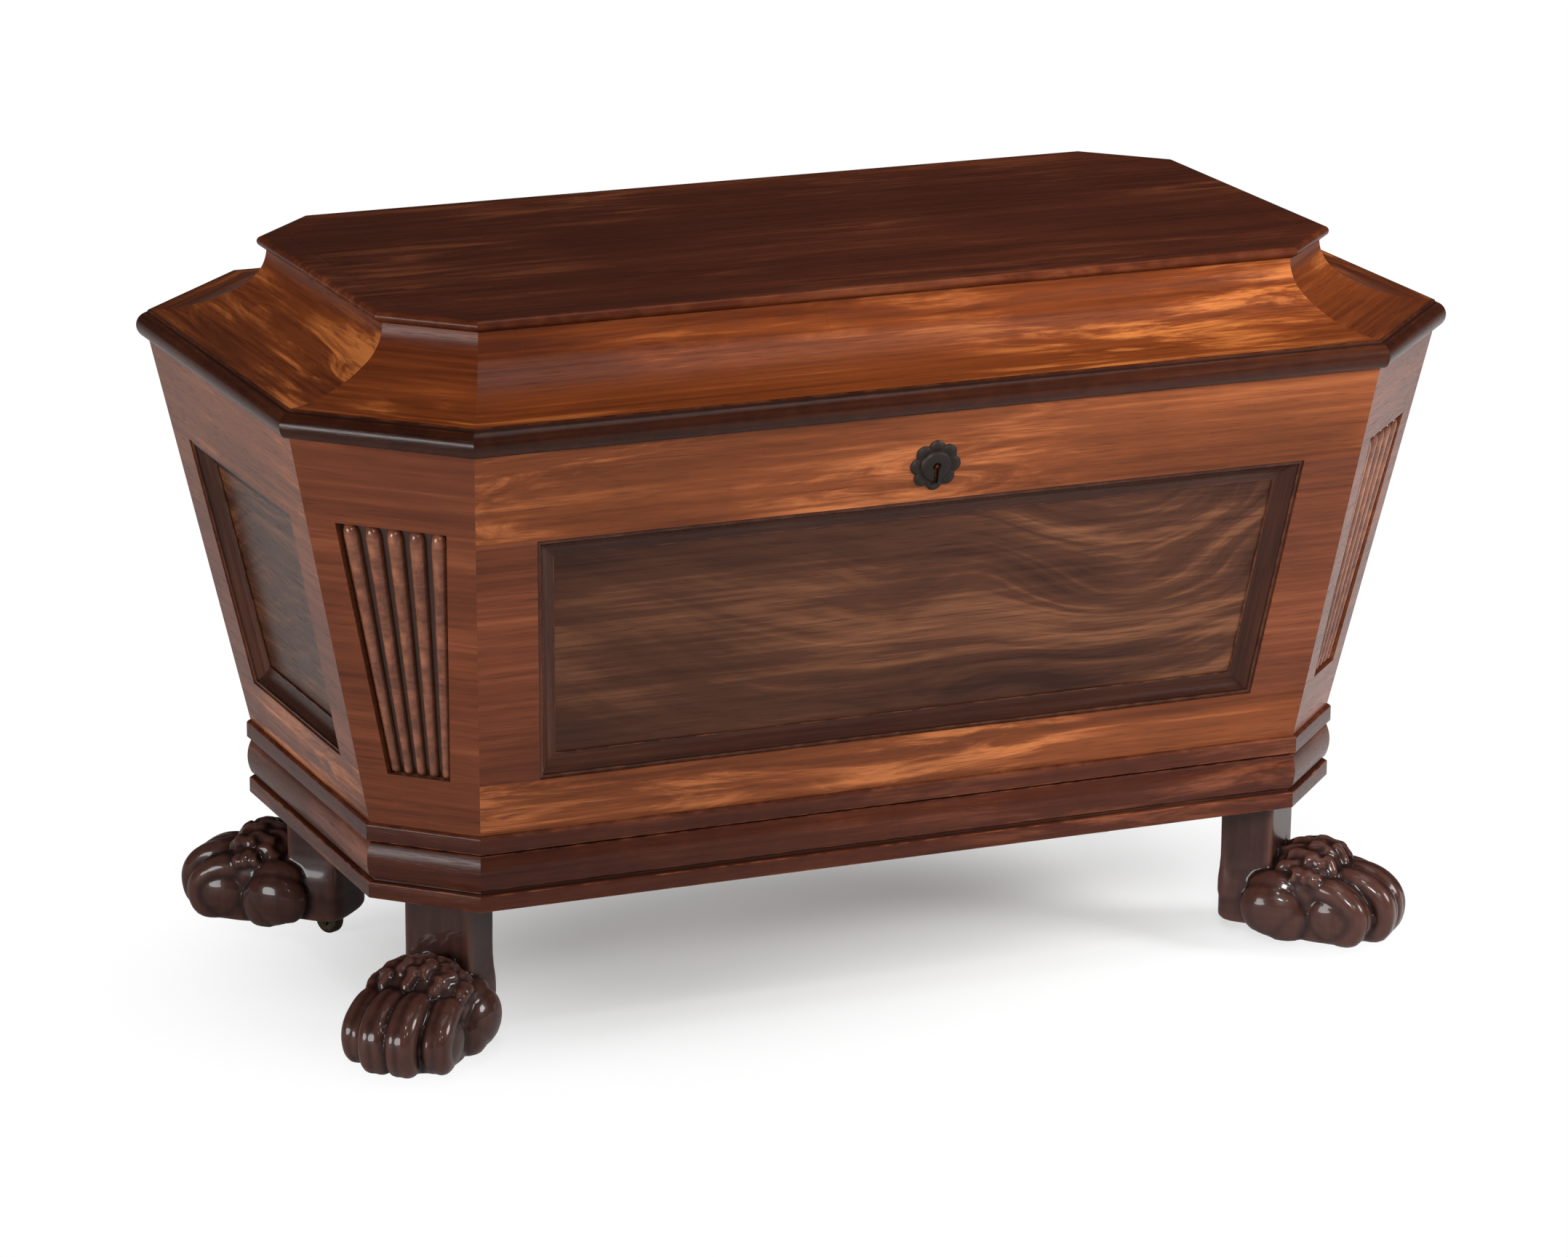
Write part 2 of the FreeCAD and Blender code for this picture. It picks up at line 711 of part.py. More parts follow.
def lining():
    """An open tapered tray of sheet metal against the inside of the case."""
    body = new_body("lead_lining")
    edge = f"({CASE_TOP} - lining_drop)"
    for name, floor, extra, taken_out in (
            ("lining_outside", CASE_BOTTOM, "wall", False),
            ("lining_inside", FLOOR_OF_CELLS, "(wall + lining)", True)):
        low = outline(body, name + "_low", "XY_Plane",
                      octagon(f"{lean_at(floor)} + {extra}"), floor)
        high = outline(body, name + "_high", "XY_Plane",
                       octagon(f"{lean_at(edge)} + {extra}"), edge)
        loft(body, low, high, taken_out)
    keep("lead_lining", body)


def notch_places(count, step):
    """Middles of evenly spaced boards about the centre."""
    return [f"({number - (count - 1) / 2} * {step})" for number in range(count)]


def division(name, plane, half_extent, notches, from_top, place):
    """An upright board with leaning ends, lapped half its height where others cross it."""
    body = new_body(name)

    def end_at(height):
        return f"({half_extent} - {lean_at(height)} - wall - lining - division_clearance)"

    middle = f"({FLOOR_OF_CELLS} + division_height / 2)"
    low, high = end_at(FLOOR_OF_CELLS), end_at(CELL_TOP)
    board = outline(body, name + "_face", plane, [
        (f"-{low}", FLOOR_OF_CELLS), (low, FLOOR_OF_CELLS), (high, CELL_TOP),
        (f"-{high}", CELL_TOP)])
    pad(body, board, "division", "Symmetric")
    laps = new_sketch(body, name + "_laps", plane)
    start, end = (middle, f"({CELL_TOP} + wall)") if from_top else \
        (f"({FLOOR_OF_CELLS} - wall)", middle)
    for notch in notches:
        left = f"({notch} - division / 2 - lap_clearance / 2)"
        right = f"({notch} + division / 2 + lap_clearance / 2)"
        draw_loop(laps, [(left, start), (right, start), (right, end), (left, end)])
    pocket(body, laps)
    axis = "Placement.Base.y" if plane == "XZ_Plane" else "Placement.Base.x"
    bind(body, axis, place)
    return body


def divisions():
    long_places = notch_places(LONG_DIVISIONS, "cell_width")
    cross_places = notch_places(CROSS_DIVISIONS, "cell_length")
    long_boards = [division(f"long_division_{number}", "XZ_Plane", HALF_WIDTH, cross_places, True,
                            place) for number, place in enumerate(long_places)]
    cross_boards = [division(f"cross_division_{number}", "YZ_Plane", HALF_DEPTH, long_places,
                             False, place) for number, place in enumerate(cross_places)]
    keep("long_divisions", group("long_divisions", long_boards))
    keep("cross_divisions", group("cross_divisions", cross_boards))


# ---------------------------------------------------------------------------------------- screws

def screw(name, x, y, z, upwards):
    """A countersunk wood screw with its head flush at z."""
    shank = cylinder(name + "_shank", "screw_shank", "screw_length", x, y,
                     z if upwards else f"{z} - screw_length")
    head = doc.addObject("Part::Cone", name + "_head")
    bind(head, "Radius1", "screw_head" if upwards else "screw_shank")
    bind(head, "Radius2", "screw_shank" if upwards else "screw_head")
    bind(head, "Height", "screw_head_depth")
    move(head, x, y, z if upwards else f"{z} - screw_head_depth")
    return fuse(name, [shank, head])


def hinge_screws(z, upwards):
    """Three screws through each leaf of the two hinges."""
    word = "lid" if upwards else "case"
    return [screw(f"{word}_hinge_screw_{number}", f"{hand} * hinge_place + {step} * hinge_screw_step",
                  f"{HALF_DEPTH} - hinge_leaf_depth / 2", z, upwards)
            for number, (hand, step) in enumerate(
                [(hand, step) for hand in (-1, 1) for step in (-1, 0, 1)])]


def pair_of_screws(word, half_span, y, z, upwards):
    return [screw(f"{word}_screw_{number}", f"{hand} * {half_span}", y, z, upwards)
            for number, hand in enumerate((-1, 1))]


# ---------------------------------------------------------------------------------------- hinges

def knuckle_spans():
    """The five knuckles of a hinge as (start, end) from its middle: the case has the odd ones."""
    step = "(hinge_length / 5)"
    gap = "knuckle_end_gap / 2"
    return [(f"(-hinge_length / 2 + {number} * {step} + {gap})",
             f"(-hinge_length / 2 + {number + 1} * {step} - {gap})") for number in range(5)]


def hinge_leaf(name, hand, of_lid, screws):
    """A flat leaf with its knuckles, bored for the pin and its screws."""
    middle = f"{hand} * hinge_place"
    bottom = LID_BOTTOM if of_lid else f"({CASE_TOP} - hinge_leaf)"
    solids = [box(name + "_plate", f"{middle} - hinge_length / 2",
                  f"{HALF_DEPTH} - hinge_leaf_depth", bottom,
                  "hinge_length", "hinge_leaf_depth", "hinge_leaf")]
    for number, (start, end) in enumerate(knuckle_spans()):
        if (number % 2 == 1) != of_lid:
            continue
        width = f"{end} - {start}"
        solids.append(box(f"{name}_web_{number}", f"{middle} + {start}", HALF_DEPTH, bottom,
                          width, HINGE_AXIS_DEPTH, "hinge_leaf"))
        solids.append(cylinder(f"{name}_knuckle_{number}", "knuckle_radius", width,
                               f"{middle} + {start}", f"{HALF_DEPTH} + {HINGE_AXIS_DEPTH}",
                               HINGE_AXIS_HEIGHT, along="x"))
    bore_radius = "hinge_pin_radius + running_clearance" if of_lid else "hinge_pin_radius"
    bore = cylinder(name + "_bore", bore_radius, "hinge_length", f"{middle} - hinge_length / 2",
                    f"{HALF_DEPTH} + {HINGE_AXIS_DEPTH}", HINGE_AXIS_HEIGHT, along="x")
    return cut(name, fuse(name + "_blank", solids), [bore] + screws)


def hinge_pin(hand):
    middle = f"{hand} * hinge_place"
    return cylinder(f"hinge_pin_{hand + 1}", "hinge_pin_radius", "hinge_length",
                    f"{middle} - hinge_length / 2", f"{HALF_DEPTH} + {HINGE_AXIS_DEPTH}",
                    HINGE_AXIS_HEIGHT, along="x")


def knuckle_notch(hand):
    """Room in the lid's back rim for the knuckles."""
    middle = f"{hand} * hinge_place"
    return box(f"knuckle_notch_{hand + 1}", f"{middle} - hinge_length / 2 - knuckle_standoff",
               HALF_DEPTH, f"{LID_BOTTOM} - wall",
               "hinge_length + 2 * knuckle_standoff", "rim_round * 2",
               f"wall + knuckle_radius + knuckle_standoff")


# ------------------------------------------------------------------------------ lock and its link

LOCK_MIDDLE = "(lock_setback + lock_thickness / 2)"
EYE_DROP = "(link_drop - (link_width - link_eye_width) / 2 - link_eye_height / 2)"
EYE_HEIGHT = f"({LID_BOTTOM} - {EYE_DROP})"
# Where the lock's middle plane is at the height of the links' eyes, level behind the front's top.
EYE_DEPTH = f"({LOCK_MIDDLE} / cos({LEAN}) + ({EYE_DROP} - seam_gap) * tan({LEAN}))"
# The same place down the face, in the frame that leans with the front.
EYE_DOWN = f"(({EYE_DROP} - seam_gap) / cos({LEAN}) + {LOCK_MIDDLE} * tan({LEAN}))"
BOLT_TOP = f"(-{EYE_DOWN} - link_drop / 2)"
BOLT_THICKNESS = "(lock_thickness - 2 * lock_wall - 2 * bolt_clearance)"
FRONT_EYE_Y = f"(-{HALF_DEPTH} + {EYE_DEPTH})"


def lock_block(name, spare_wall):
    """The lock's leaning box, solid, smaller all round by a wall where asked."""
    length = f"lock_length - 2 * {spare_wall}"
    return lean_from_front(
        box(name, "0", "0", "0", length, f"lock_thickness - 2 * {spare_wall}",
            f"lock_height - 2 * {spare_wall}"),
        f"-({length}) / 2", f"lock_setback + {spare_wall}",
        f"-lock_top_drop - lock_height + {spare_wall}")


def lock_cover(name):
    """The level plate that closes the lock, let into the rail's top edge."""
    return box(name, "-lock_plate_length / 2",
               f"{FRONT_EYE_Y} - lock_plate_width / 2", f"{CASE_TOP} - lock_plate",
               "lock_plate_length", "lock_plate_width", "lock_plate")


def keyway(name):
    """The keyhole's shape, square to the face, from before the escutcheon into the lock."""
    bore = cylinder(name + "_bore", "keyhole_radius", "lock_setback * 4")
    bore.Placement.Rotation = FreeCAD.Rotation(FreeCAD.Vector(-1, 0, 0), 1)
    bind(bore, "Placement.Rotation.Angle", f"90 deg - {LEAN}")
    start = "(-lock_setback * 2)"
    move(bore, "0", f"-{HALF_DEPTH} + {start} * cos({LEAN}) + keyhole_drop * sin({LEAN})",
         f"{CASE_TOP} + {start} * sin({LEAN}) - keyhole_drop * cos({LEAN})")
    slot = lean_from_front(
        box(name + "_slot", "0", "0", "0", "keyhole_slot", "lock_setback * 4", "keyhole_tail"),
        "-keyhole_slot / 2", start, "-keyhole_drop - keyhole_tail")
    return fuse(name, [bore, slot])


def leaning_box(name, x, y, z, length, width, height):
    return lean_from_front(box(name, "0", "0", "0", length, width, height), x, y, z)


def link_slots():
    """Room for the two links, down through the lock's cover and the rail into the lock."""
    return [box(f"link_slot_{hand + 1}",
                f"{hand} * link_place - link_thickness / 2 - link_slot_room",
                f"{FRONT_EYE_Y} - link_width / 2 - link_slot_room",
                f"{CASE_TOP} - lock_top_drop - 2 * lock_plate",
                "link_thickness + 2 * link_slot_room", "link_width + 2 * link_slot_room",
                "wall") for hand in (-1, 1)]


def lock(slots, screws):
    """The lock's case with a slot for each link, a keyhole and a ledge that carries the bolt."""
    blank = fuse("lock_blank", [lock_block("lock_box", "0"), lock_cover("lock_cover")])
    shell = cut("lock_shell", blank,
                [lock_block("lock_inside", "lock_wall"), keyway("lock_keyway")] + slots + screws)
    ledge = leaning_box("bolt_ledge", "-lock_length / 2 + lock_wall / 2",
                        "lock_setback + lock_wall / 2",
                        f"{BOLT_TOP} - bolt_height - bolt_clearance - bolt_guide",
                        "lock_length - lock_wall", "lock_thickness - lock_wall", "bolt_guide")
    keep("lock_case", fuse("lock_case", [shell, ledge]))


def lock_bolt():
    """A sliding bolt: a bar under the links with two posts, each with a round finger that enters
    a link's eye as the bolt slides towards -X."""
    solids = []
    posts = []
    for number, hand in enumerate((-1, 1)):
        tip = f"({hand} * link_place + link_thickness / 2 + bolt_gap)"
        post = f"({tip} + bolt_travel)"
        posts.append(post)
        solids.append(leaning_box(f"bolt_post_{number}", post, f"{LOCK_MIDDLE} - bolt_post / 2",
                                  f"{BOLT_TOP} - bolt_height", "bolt_post", "bolt_post",
                                  f"bolt_height - {BOLT_TOP} - {EYE_DOWN} + bolt_finger_radius"))
        solids.append(cylinder(f"bolt_finger_{number}", "bolt_finger_radius",
                               "bolt_travel + bolt_post / 2", tip, FRONT_EYE_Y, EYE_HEIGHT,
                               along="x"))
    solids.append(leaning_box("bolt_bar", posts[0], f"{LOCK_MIDDLE} - {BOLT_THICKNESS} / 2",
                              f"{BOLT_TOP} - bolt_height",
                              f"{posts[1]} - {posts[0]} + bolt_post", BOLT_THICKNESS,
                              "bolt_height"))
    keep("lock_bolt", fuse("lock_bolt", solids))


def link_solids():
    """The plate under the lid's front rim with its two eyed links."""
    solids = [box("link_plate_flat", "-link_plate_length / 2",
                  f"{FRONT_EYE_Y} - link_plate_width / 2", LID_BOTTOM,
                  "link_plate_length", "link_plate_width", "link_plate")]
    eyes = []
    for hand in (-1, 1):
        left = f"({hand} * link_place - link_thickness / 2)"
        solids.append(box(f"link_{hand + 1}", left, f"{FRONT_EYE_Y} - link_width / 2",
                          f"{LID_BOTTOM} - link_drop", "link_thickness", "link_width",
                          "link_drop + link_plate"))
        eyes.append(box(f"link_eye_{hand + 1}", left, f"{FRONT_EYE_Y} - link_eye_width / 2",
                        f"{EYE_HEIGHT} - link_eye_height / 2", "link_thickness",
                        "link_eye_width", "link_eye_height"))
    return solids, eyes


def escutcheon():
    """A lobed plate with a raised boss, flat on the leaning face, with the keyhole through it."""
    body = new_body("escutcheon_plate")
    disc = circle(body, "escutcheon_disc_circle", "XY_Plane", "0", "0", "escutcheon_disc")
    pad(body, disc, "escutcheon_thickness")
    lobe = pad(body, circle(body, "escutcheon_lobe_circle", "XY_Plane", "escutcheon_disc", "0",
                            "escutcheon_lobe"), "escutcheon_thickness")
    lobes = body.newObject("PartDesign::PolarPattern", "escutcheon_lobes")
    lobes.Originals = [lobe]
    axis = [item for item in body.Origin.OriginFeatures if item.Role == "Z_Axis"][0]
    lobes.Axis = (axis, [""])
    lobes.Angle = 360
    lobes.Occurrences = LOBES
    body.Tip = lobes
    boss = pad(body, circle(body, "escutcheon_boss_circle", "XY_Plane", "0", "0",
                            "escutcheon_boss"), "escutcheon_thickness + escutcheon_boss_rise")
    body.Tip = boss
    body.Placement.Rotation = FreeCAD.Rotation(FreeCAD.Vector(1, 0, 0), 90)
    bind(body, "Placement.Rotation.Angle", f"90 deg + {LEAN}")
    move(body, "0", f"-{HALF_DEPTH} + keyhole_drop * sin({LEAN})",
         f"{CASE_TOP} - keyhole_drop * cos({LEAN})")
    keep("escutcheon", cut("escutcheon", body, [keyway("escutcheon_keyway")]))


# ------------------------------------------------------------------------------------------- lid

def rim_profile():
    """A flat frame with a nearly half-round outer edge."""
    return [("rim_depth", LID_BOTTOM), ("rim_depth", RIM_TOP), ("-rim_top_proud", RIM_TOP,
            "rim_round", 1), ("-rim_bottom_proud", LID_BOTTOM)]


def cove_profile():
    """A stave with a hollow outer face made of two arcs that meet without a corner: a wide one
    that leaves the rim level and a tight one that ends upright at the neck."""
    wide = ("(((cove_width - cove_neck_round) ^ 2 + cove_height ^ 2 - cove_neck_round ^ 2)"
            " / (2 * (cove_height - cove_neck_round)))")
    share = f"({wide} / ({wide} - cove_neck_round))"
    joint_depth = f"(rim_top_proud + {share} * (cove_width - cove_neck_round))"
    joint_height = f"({RIM_TOP} + {share} * (cove_height - cove_neck_round))"
    stave_back = f"({NECK_INSET} + cove_stave)"
    return [("rim_top_proud", RIM_TOP, wide, 1),
            (joint_depth, joint_height, "cove_neck_round", 1),
            (NECK_INSET, NECK_TOP), (stave_back, NECK_TOP),
            (stave_back, f"({NECK_TOP} - cove_stave_edge)"), ("rim_depth", RIM_TOP)]


def lip_profile():
    """The moulded edge of the lid's top, with a round nose."""
    return [(LIP_INSET, NECK_TOP), (LIP_BACK, NECK_TOP), (LIP_BACK, LID_TOP),
            (LIP_INSET, LID_TOP, "lip_round", 1)]


def lid(hinge_leaves, link_plate, screws):
    rims = [moulded_length(side.name + "_rim", side, rim_profile(), "rim_round", "rim_depth")
            for side in SIDES]
    front, back = SIDES.index(SIDE["front"]), SIDES.index(SIDE["back"])
    rims[front] = cut("front_rim_fitted", rims[front], [link_plate] + screws["link"])
    rims[back] = cut("back_rim_fitted", rims[back],
                     hinge_leaves + screws["lid_hinge"] + [knuckle_notch(-1), knuckle_notch(1)])
    keep("lid_rim", group("lid_rim", rims))
    keep("lid_cove", group("lid_cove", [
        moulded_length(side.name + "_cove", side, cove_profile(), "rim_round",
                       f"({NECK_INSET} + cove_stave)") for side in SIDES]))
    keep("lid_top_moulding", group("lid_top_moulding", [
        moulded_length(side.name + "_lip", side, lip_profile(), "rim_round", LIP_BACK)
        for side in SIDES]))
    flat_octagon("lid_top_board", LIP_BACK, NECK_TOP, "lip_height")


# ------------------------------------------------------------------------------ feet and castors

def ellipsoid(name, across, along, up, x, y, z, turn):
    item = doc.addObject("Part::Ellipsoid", name)
    bind(item, "Radius1", up)
    bind(item, "Radius2", across)
    bind(item, "Radius3", along)
    item.Angle1, item.Angle2, item.Angle3 = -90, 90, 360
    item.Placement.Rotation = FreeCAD.Rotation(FreeCAD.Vector(0, 0, 1), 1)
    bind(item, "Placement.Rotation.Angle", turn)
    return move(item, x, y, z)


def paw_solids(name):
    """A square leg, a heel between two pads, a round instep and four plump toes in a fan."""
    tips = "(case_lean - paw_reach)"
    front = "(case_lean + leg_setback)"
    solids = [
        box(name + "_leg", "-leg_width / 2", front, "pad_rise", "leg_width", "leg_depth",
            "underside_height - pad_rise"),
        box(name + "_heel", "-heel_width / 2", f"{front} - leg_setback", "heel_rise",
            "heel_width", "leg_setback + leg_depth + heel_proud", "heel_height - heel_rise"),
        box(name + "_sole", "-sole_width / 2", f"{tips} + sole_setback", "paw_rise",
            "sole_width", "paw_length - sole_setback", "heel_height - paw_rise"),
        ellipsoid(name + "_instep", "instep_width", "instep_length", "instep_height",
                  "0", "instep_depth", "instep_rise", "0"),
        cylinder(name + "_tenon", "tenon_radius", "tenon_length", "0", TENON_DEPTH,
                 "underside_height"),
    ]
    for hand in (-1, 1):
        solids.append(ellipsoid(f"{name}_pad_{hand + 1}", "pad_width", "pad_length", "pad_height",
                                f"{hand} * pad_spread / 2", "pad_depth", "pad_rise", "0"))
    for number in range(4):
        place = number - 1.5
        solids.append(ellipsoid(f"{name}_toe_{number}", "toe_width", "toe_length", "toe_height",
                                f"{place} * toe_spread",
                                f"{tips} + toe_length + {abs(place) - 0.5} * toe_stagger",
                                "paw_rise + toe_height - toe_flat",
                                f"{-place} * toe_splay"))
    return solids


def castor_plate_blank(name):
    """A round plate with the socket that the castor's stem turns in."""
    plate = cylinder(name + "_disc", "castor_plate_radius", "castor_plate", "0", SWIVEL_DEPTH,
                     PLATE_BOTTOM)
    socket = cylinder(name + "_socket", "castor_socket_radius",
                      "castor_plate + castor_socket_depth", "0", SWIVEL_DEPTH, PLATE_BOTTOM)
    return fuse(name, [plate, socket])


def castor_screws(side):
    """Three screws up through the castor's plate, in the foot's frame."""
    screws = []
    for number in range(3):
        angle = 30 + 120 * number
        screws.append(screw(f"{side.name}_castor_screw_{number}",
                            f"castor_screw_circle * cos({angle})",
                            f"{SWIVEL_DEPTH} + castor_screw_circle * sin({angle})",
                            PLATE_BOTTOM, True))
    return screws


def foot(side):
    """A paw foot, hollow under its heel, with its castor's plate and screws in the hollow."""
    name = side.name + "_paw_foot"
    screws = castor_screws(side)
    recess = cylinder(name + "_recess", "castor_recess_radius", f"{RECESS_TOP}", "0",
                      SWIVEL_DEPTH, "0")
    under_sole = box(name + "_under_sole", "-leg_width * 2", "case_lean - leg_width * 2", "-wall",
                     "leg_width * 4", "leg_width * 4", "wall + paw_rise")
    paw = cut(name, fuse(name + "_blank", paw_solids(name)),
              [under_sole, recess, castor_plate_blank(name + "_plate_room")] + screws)
    keep(name, stand(paw, side))
    stem = cylinder(side.name + "_stem_bore", "castor_stem_radius + running_clearance",
                    "castor_socket_depth", "0", SWIVEL_DEPTH, PLATE_BOTTOM)
    plate = cut(side.name + "_castor_plate", castor_plate_blank(side.name + "_plate_blank"),
                [stem] + screws)
    stand(plate, side)
    return plate, stand(group(side.name + "_castor_screws", screws), side)


def beside_foot(side, depth, trail_turn=None):
    """World X and Y of a point at a depth behind a corner's face, or beyond it by the trail."""
    x = f"{side.middle_x} - {depth} * sin({side.turn})"
    y = f"{side.middle_y} + {depth} * cos({side.turn})"
    if trail_turn is not None:
        x += f" - trail * sin({trail_turn})"
        y += f" + trail * cos({trail_turn})"
    return x, y


def castor_fork(side):
    """A stem, a crown and two cheeks that carry the axle behind the swivel axis."""
    name = side.name + "_castor_fork"
    body = new_body(name)
    inner = "(wheel_width / 2 + fork_gap)"
    outer = f"({inner} + fork_cheek)"
    boss = "(axle_radius * 2)"
    slant = f"({boss} * sqrt(3) / 2)"
    cheek = outline(body, name + "_cheek", "YZ_Plane", [
        ("-fork_crown_radius / 2", CROWN_BOTTOM), (f"trail - {slant}", f"{AXLE_HEIGHT} - {boss} / 2",
                                                   boss, 1),
        (f"trail + {slant}", f"{AXLE_HEIGHT} - {boss} / 2"),
        (f"trail + {slant}", f"{AXLE_HEIGHT} + {boss} / 2"),
        ("fork_crown_radius / 2 + fork_crown", CROWN_BOTTOM),
        ("fork_crown_radius / 2 + fork_crown", CROWN_TOP), ("-fork_crown_radius / 2", CROWN_TOP)])
    pad(body, cheek, f"2 * {outer}", "Symmetric")
    gap = outline(body, name + "_gap", "XZ_Plane", [
        (f"-{inner}", "-wheel_radius"), (inner, "-wheel_radius"), (inner, CROWN_BOTTOM),
        (f"-{inner}", CROWN_BOTTOM)])
    pocket(body, gap)
    pad(body, circle(body, name + "_crown", "XY_Plane", "0", "0", "fork_crown_radius",
                     CROWN_BOTTOM), "fork_crown")
    stem_length = "castor_socket_depth + plate_gap - castor_stem_gap"
    pad(body, circle(body, name + "_stem", "XY_Plane", "0", "0", "castor_stem_radius", CROWN_TOP),
        stem_length)
    axle = circle(body, name + "_axle", "YZ_Plane", "trail", AXLE_HEIGHT, "axle_radius")
    pad(body, axle, f"2 * {outer} + axle_radius", "Symmetric")
    turn = side.turn + CASTOR_TURNS[side.name]
    body.Placement.Rotation = FreeCAD.Rotation(FreeCAD.Vector(0, 0, 1), turn)
    keep(name, move(body, *beside_foot(side, SWIVEL_DEPTH)))


def castor_wheel(side):
    """A wheel with rounded edges, bored for its axle."""
    name = side.name + "_castor_wheel"
    body = new_body(name)
    half = "wheel_width / 2"
    bore = "axle_radius + running_clearance"
    section = outline(body, name + "_section", "XZ_Plane", [
        (f"-({half})", bore), (half, bore),
        (half, "wheel_radius - wheel_edge_round", "wheel_edge_round", 1),
        (f"{half} - wheel_edge_round", "wheel_radius"),
        (f"-({half}) + wheel_edge_round", "wheel_radius", "wheel_edge_round", 1),
        (f"-({half})", "wheel_radius - wheel_edge_round")])
    turned = body.newObject("PartDesign::Revolution", name + "_turned")
    turned.Profile = section
    turned.ReferenceAxis = (section, ["H_Axis"])
    turned.Angle = 360
    turn = side.turn + CASTOR_TURNS[side.name]
    body.Placement.Rotation = FreeCAD.Rotation(FreeCAD.Vector(0, 0, 1), turn)
    x, y = beside_foot(side, SWIVEL_DEPTH, turn)
    keep(name, move(body, x, y, AXLE_HEIGHT))


# -------------------------------------------------------------------------------------- assembly

def build():
    top_rails = {name: panelled_side(SIDE[name]) for name in PANEL_SIDES}
    for side in CORNERS:
        corner_board(side)
        corner_reeding(side)
    plinth()
    flat_octagon("bottom_board", PLINTH_BACK, f"{CASE_BOTTOM} - bottom_board", "bottom_board")
    foot_blocks()
    lining()
    divisions()

    screws = {
        "case_hinge": hinge_screws(CASE_TOP, upwards=False),
        "lid_hinge": hinge_screws(LID_BOTTOM, upwards=True),
        "lock": pair_of_screws("lock", "(lock_length / 2 + lock_plate_length / 2) / 2",
                               FRONT_EYE_Y, CASE_TOP, upwards=False),
        "link": pair_of_screws("link", "(link_place + link_plate_length / 2) / 2",
                               FRONT_EYE_Y, LID_BOTTOM, upwards=True),
    }
    half = {False: screws["case_hinge"], True: screws["lid_hinge"]}
    leaves = {of_lid: [hinge_leaf(f"{'lid' if of_lid else 'case'}_leaf_{hand + 1}", hand, of_lid,
                                  half[of_lid][:3] if hand < 0 else half[of_lid][3:])
                       for hand in (-1, 1)] for of_lid in (False, True)}
    keep("hinge_case_leaves", group("hinge_case_leaves", leaves[False]))
    keep("hinge_lid_leaves", group("hinge_lid_leaves", leaves[True]))
    keep("hinge_pins", group("hinge_pins", [hinge_pin(-1), hinge_pin(1)]))

    slots = link_slots()
    lock(slots, screws["lock"])
    lock_bolt()
    escutcheon()
    solids, eyes = link_solids()
    link_blank = fuse("link_blank", solids)
    keep("link_plate", cut("link_plate", link_blank, eyes + screws["link"]))

    keep("front_top_rail", cut("front_top_rail_fitted", top_rails["front"],
                               [lock_block("lock_room", "0"), lock_cover("cover_room"),
                                keyway("rail_keyway")] + slots + screws["lock"]))
    keep("back_top_rail", cut("back_top_rail_fitted", top_rails["back"],
                              leaves[False] + screws["case_hinge"]))
    keep("left_top_rail", top_rails["left"])
    keep("right_top_rail", top_rails["right"])

    lid(leaves[True], link_blank, screws)
    plates = []
    fastenings = []
    for side in CORNERS:
        plate, plate_screws = foot(side)
        plates.append(plate)
        fastenings.append(plate_screws)
        castor_fork(side)
        castor_wheel(side)
    keep("castor_plates", group("castor_plates", plates))
    keep("case_screws", group("case_screws", screws["case_hinge"] + screws["lock"] + fastenings))
    keep("lid_screws", group("lid_screws", screws["lid_hinge"] + screws["link"]))


def check_and_export():
    """Stops on any failed object, then writes each sub-part to its own file."""
    doc.recompute()
    failed = [item.Label for item in doc.Objects
              if "Invalid" in item.State or "Error" in item.State]
    if failed:
        raise RuntimeError("failed to recompute: " + ", ".join(failed))
    os.makedirs("parts", exist_ok=True)
    unsound = [node for node, item in parts.items()
               if item.Shape.isNull() or not item.Shape.isValid() or not item.Shape.Solids]
    if unsound:
        raise RuntimeError("no sound shape: " + ", ".join(unsound))
    for node, item in parts.items():
        item.Shape.exportStep(f"parts/{node}.step")
        print(f"{node}: {len(item.Shape.Solids)} solids, {item.Shape.Volume / 1000:.1f} cm3")
    print(f"{len(parts)} nodes")


build()
check_and_export()
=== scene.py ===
import logging
import math
from dataclasses import dataclass, field
from enum import Enum
from typing import Any, Iterable, Protocol, Sequence

import bpy
import numpy as np
from mathutils import Matrix, Vector


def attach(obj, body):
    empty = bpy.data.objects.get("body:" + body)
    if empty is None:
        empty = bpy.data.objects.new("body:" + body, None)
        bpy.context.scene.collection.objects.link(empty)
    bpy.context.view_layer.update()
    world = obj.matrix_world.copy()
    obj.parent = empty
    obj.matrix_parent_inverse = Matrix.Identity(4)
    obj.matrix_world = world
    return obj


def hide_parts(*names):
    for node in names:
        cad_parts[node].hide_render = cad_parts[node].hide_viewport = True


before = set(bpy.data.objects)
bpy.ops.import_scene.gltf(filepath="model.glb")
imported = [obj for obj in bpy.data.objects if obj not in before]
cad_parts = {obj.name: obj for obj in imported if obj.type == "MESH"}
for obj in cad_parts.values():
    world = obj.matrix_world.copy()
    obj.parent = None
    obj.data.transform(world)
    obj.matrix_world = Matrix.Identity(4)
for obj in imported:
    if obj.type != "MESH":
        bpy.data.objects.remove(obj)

# Looks of a mahogany cellarette. All lengths are in metres. The case, the plinth and the lid share
# one outline with eight sides. A side's own frame has X along the side, a depth inwards from the
# top edge of the case, and Z up from the floor.

LOG = logging.getLogger("cellarette")
Array = np.ndarray
Colour = tuple[float, float, float]
Place = tuple[float, float, float]
Skin = tuple[Array, Array]

# How far a side's end moves along the side for each depth inwards: its corners turn by 45 degrees.
MITRE = math.tan(math.pi / 8)

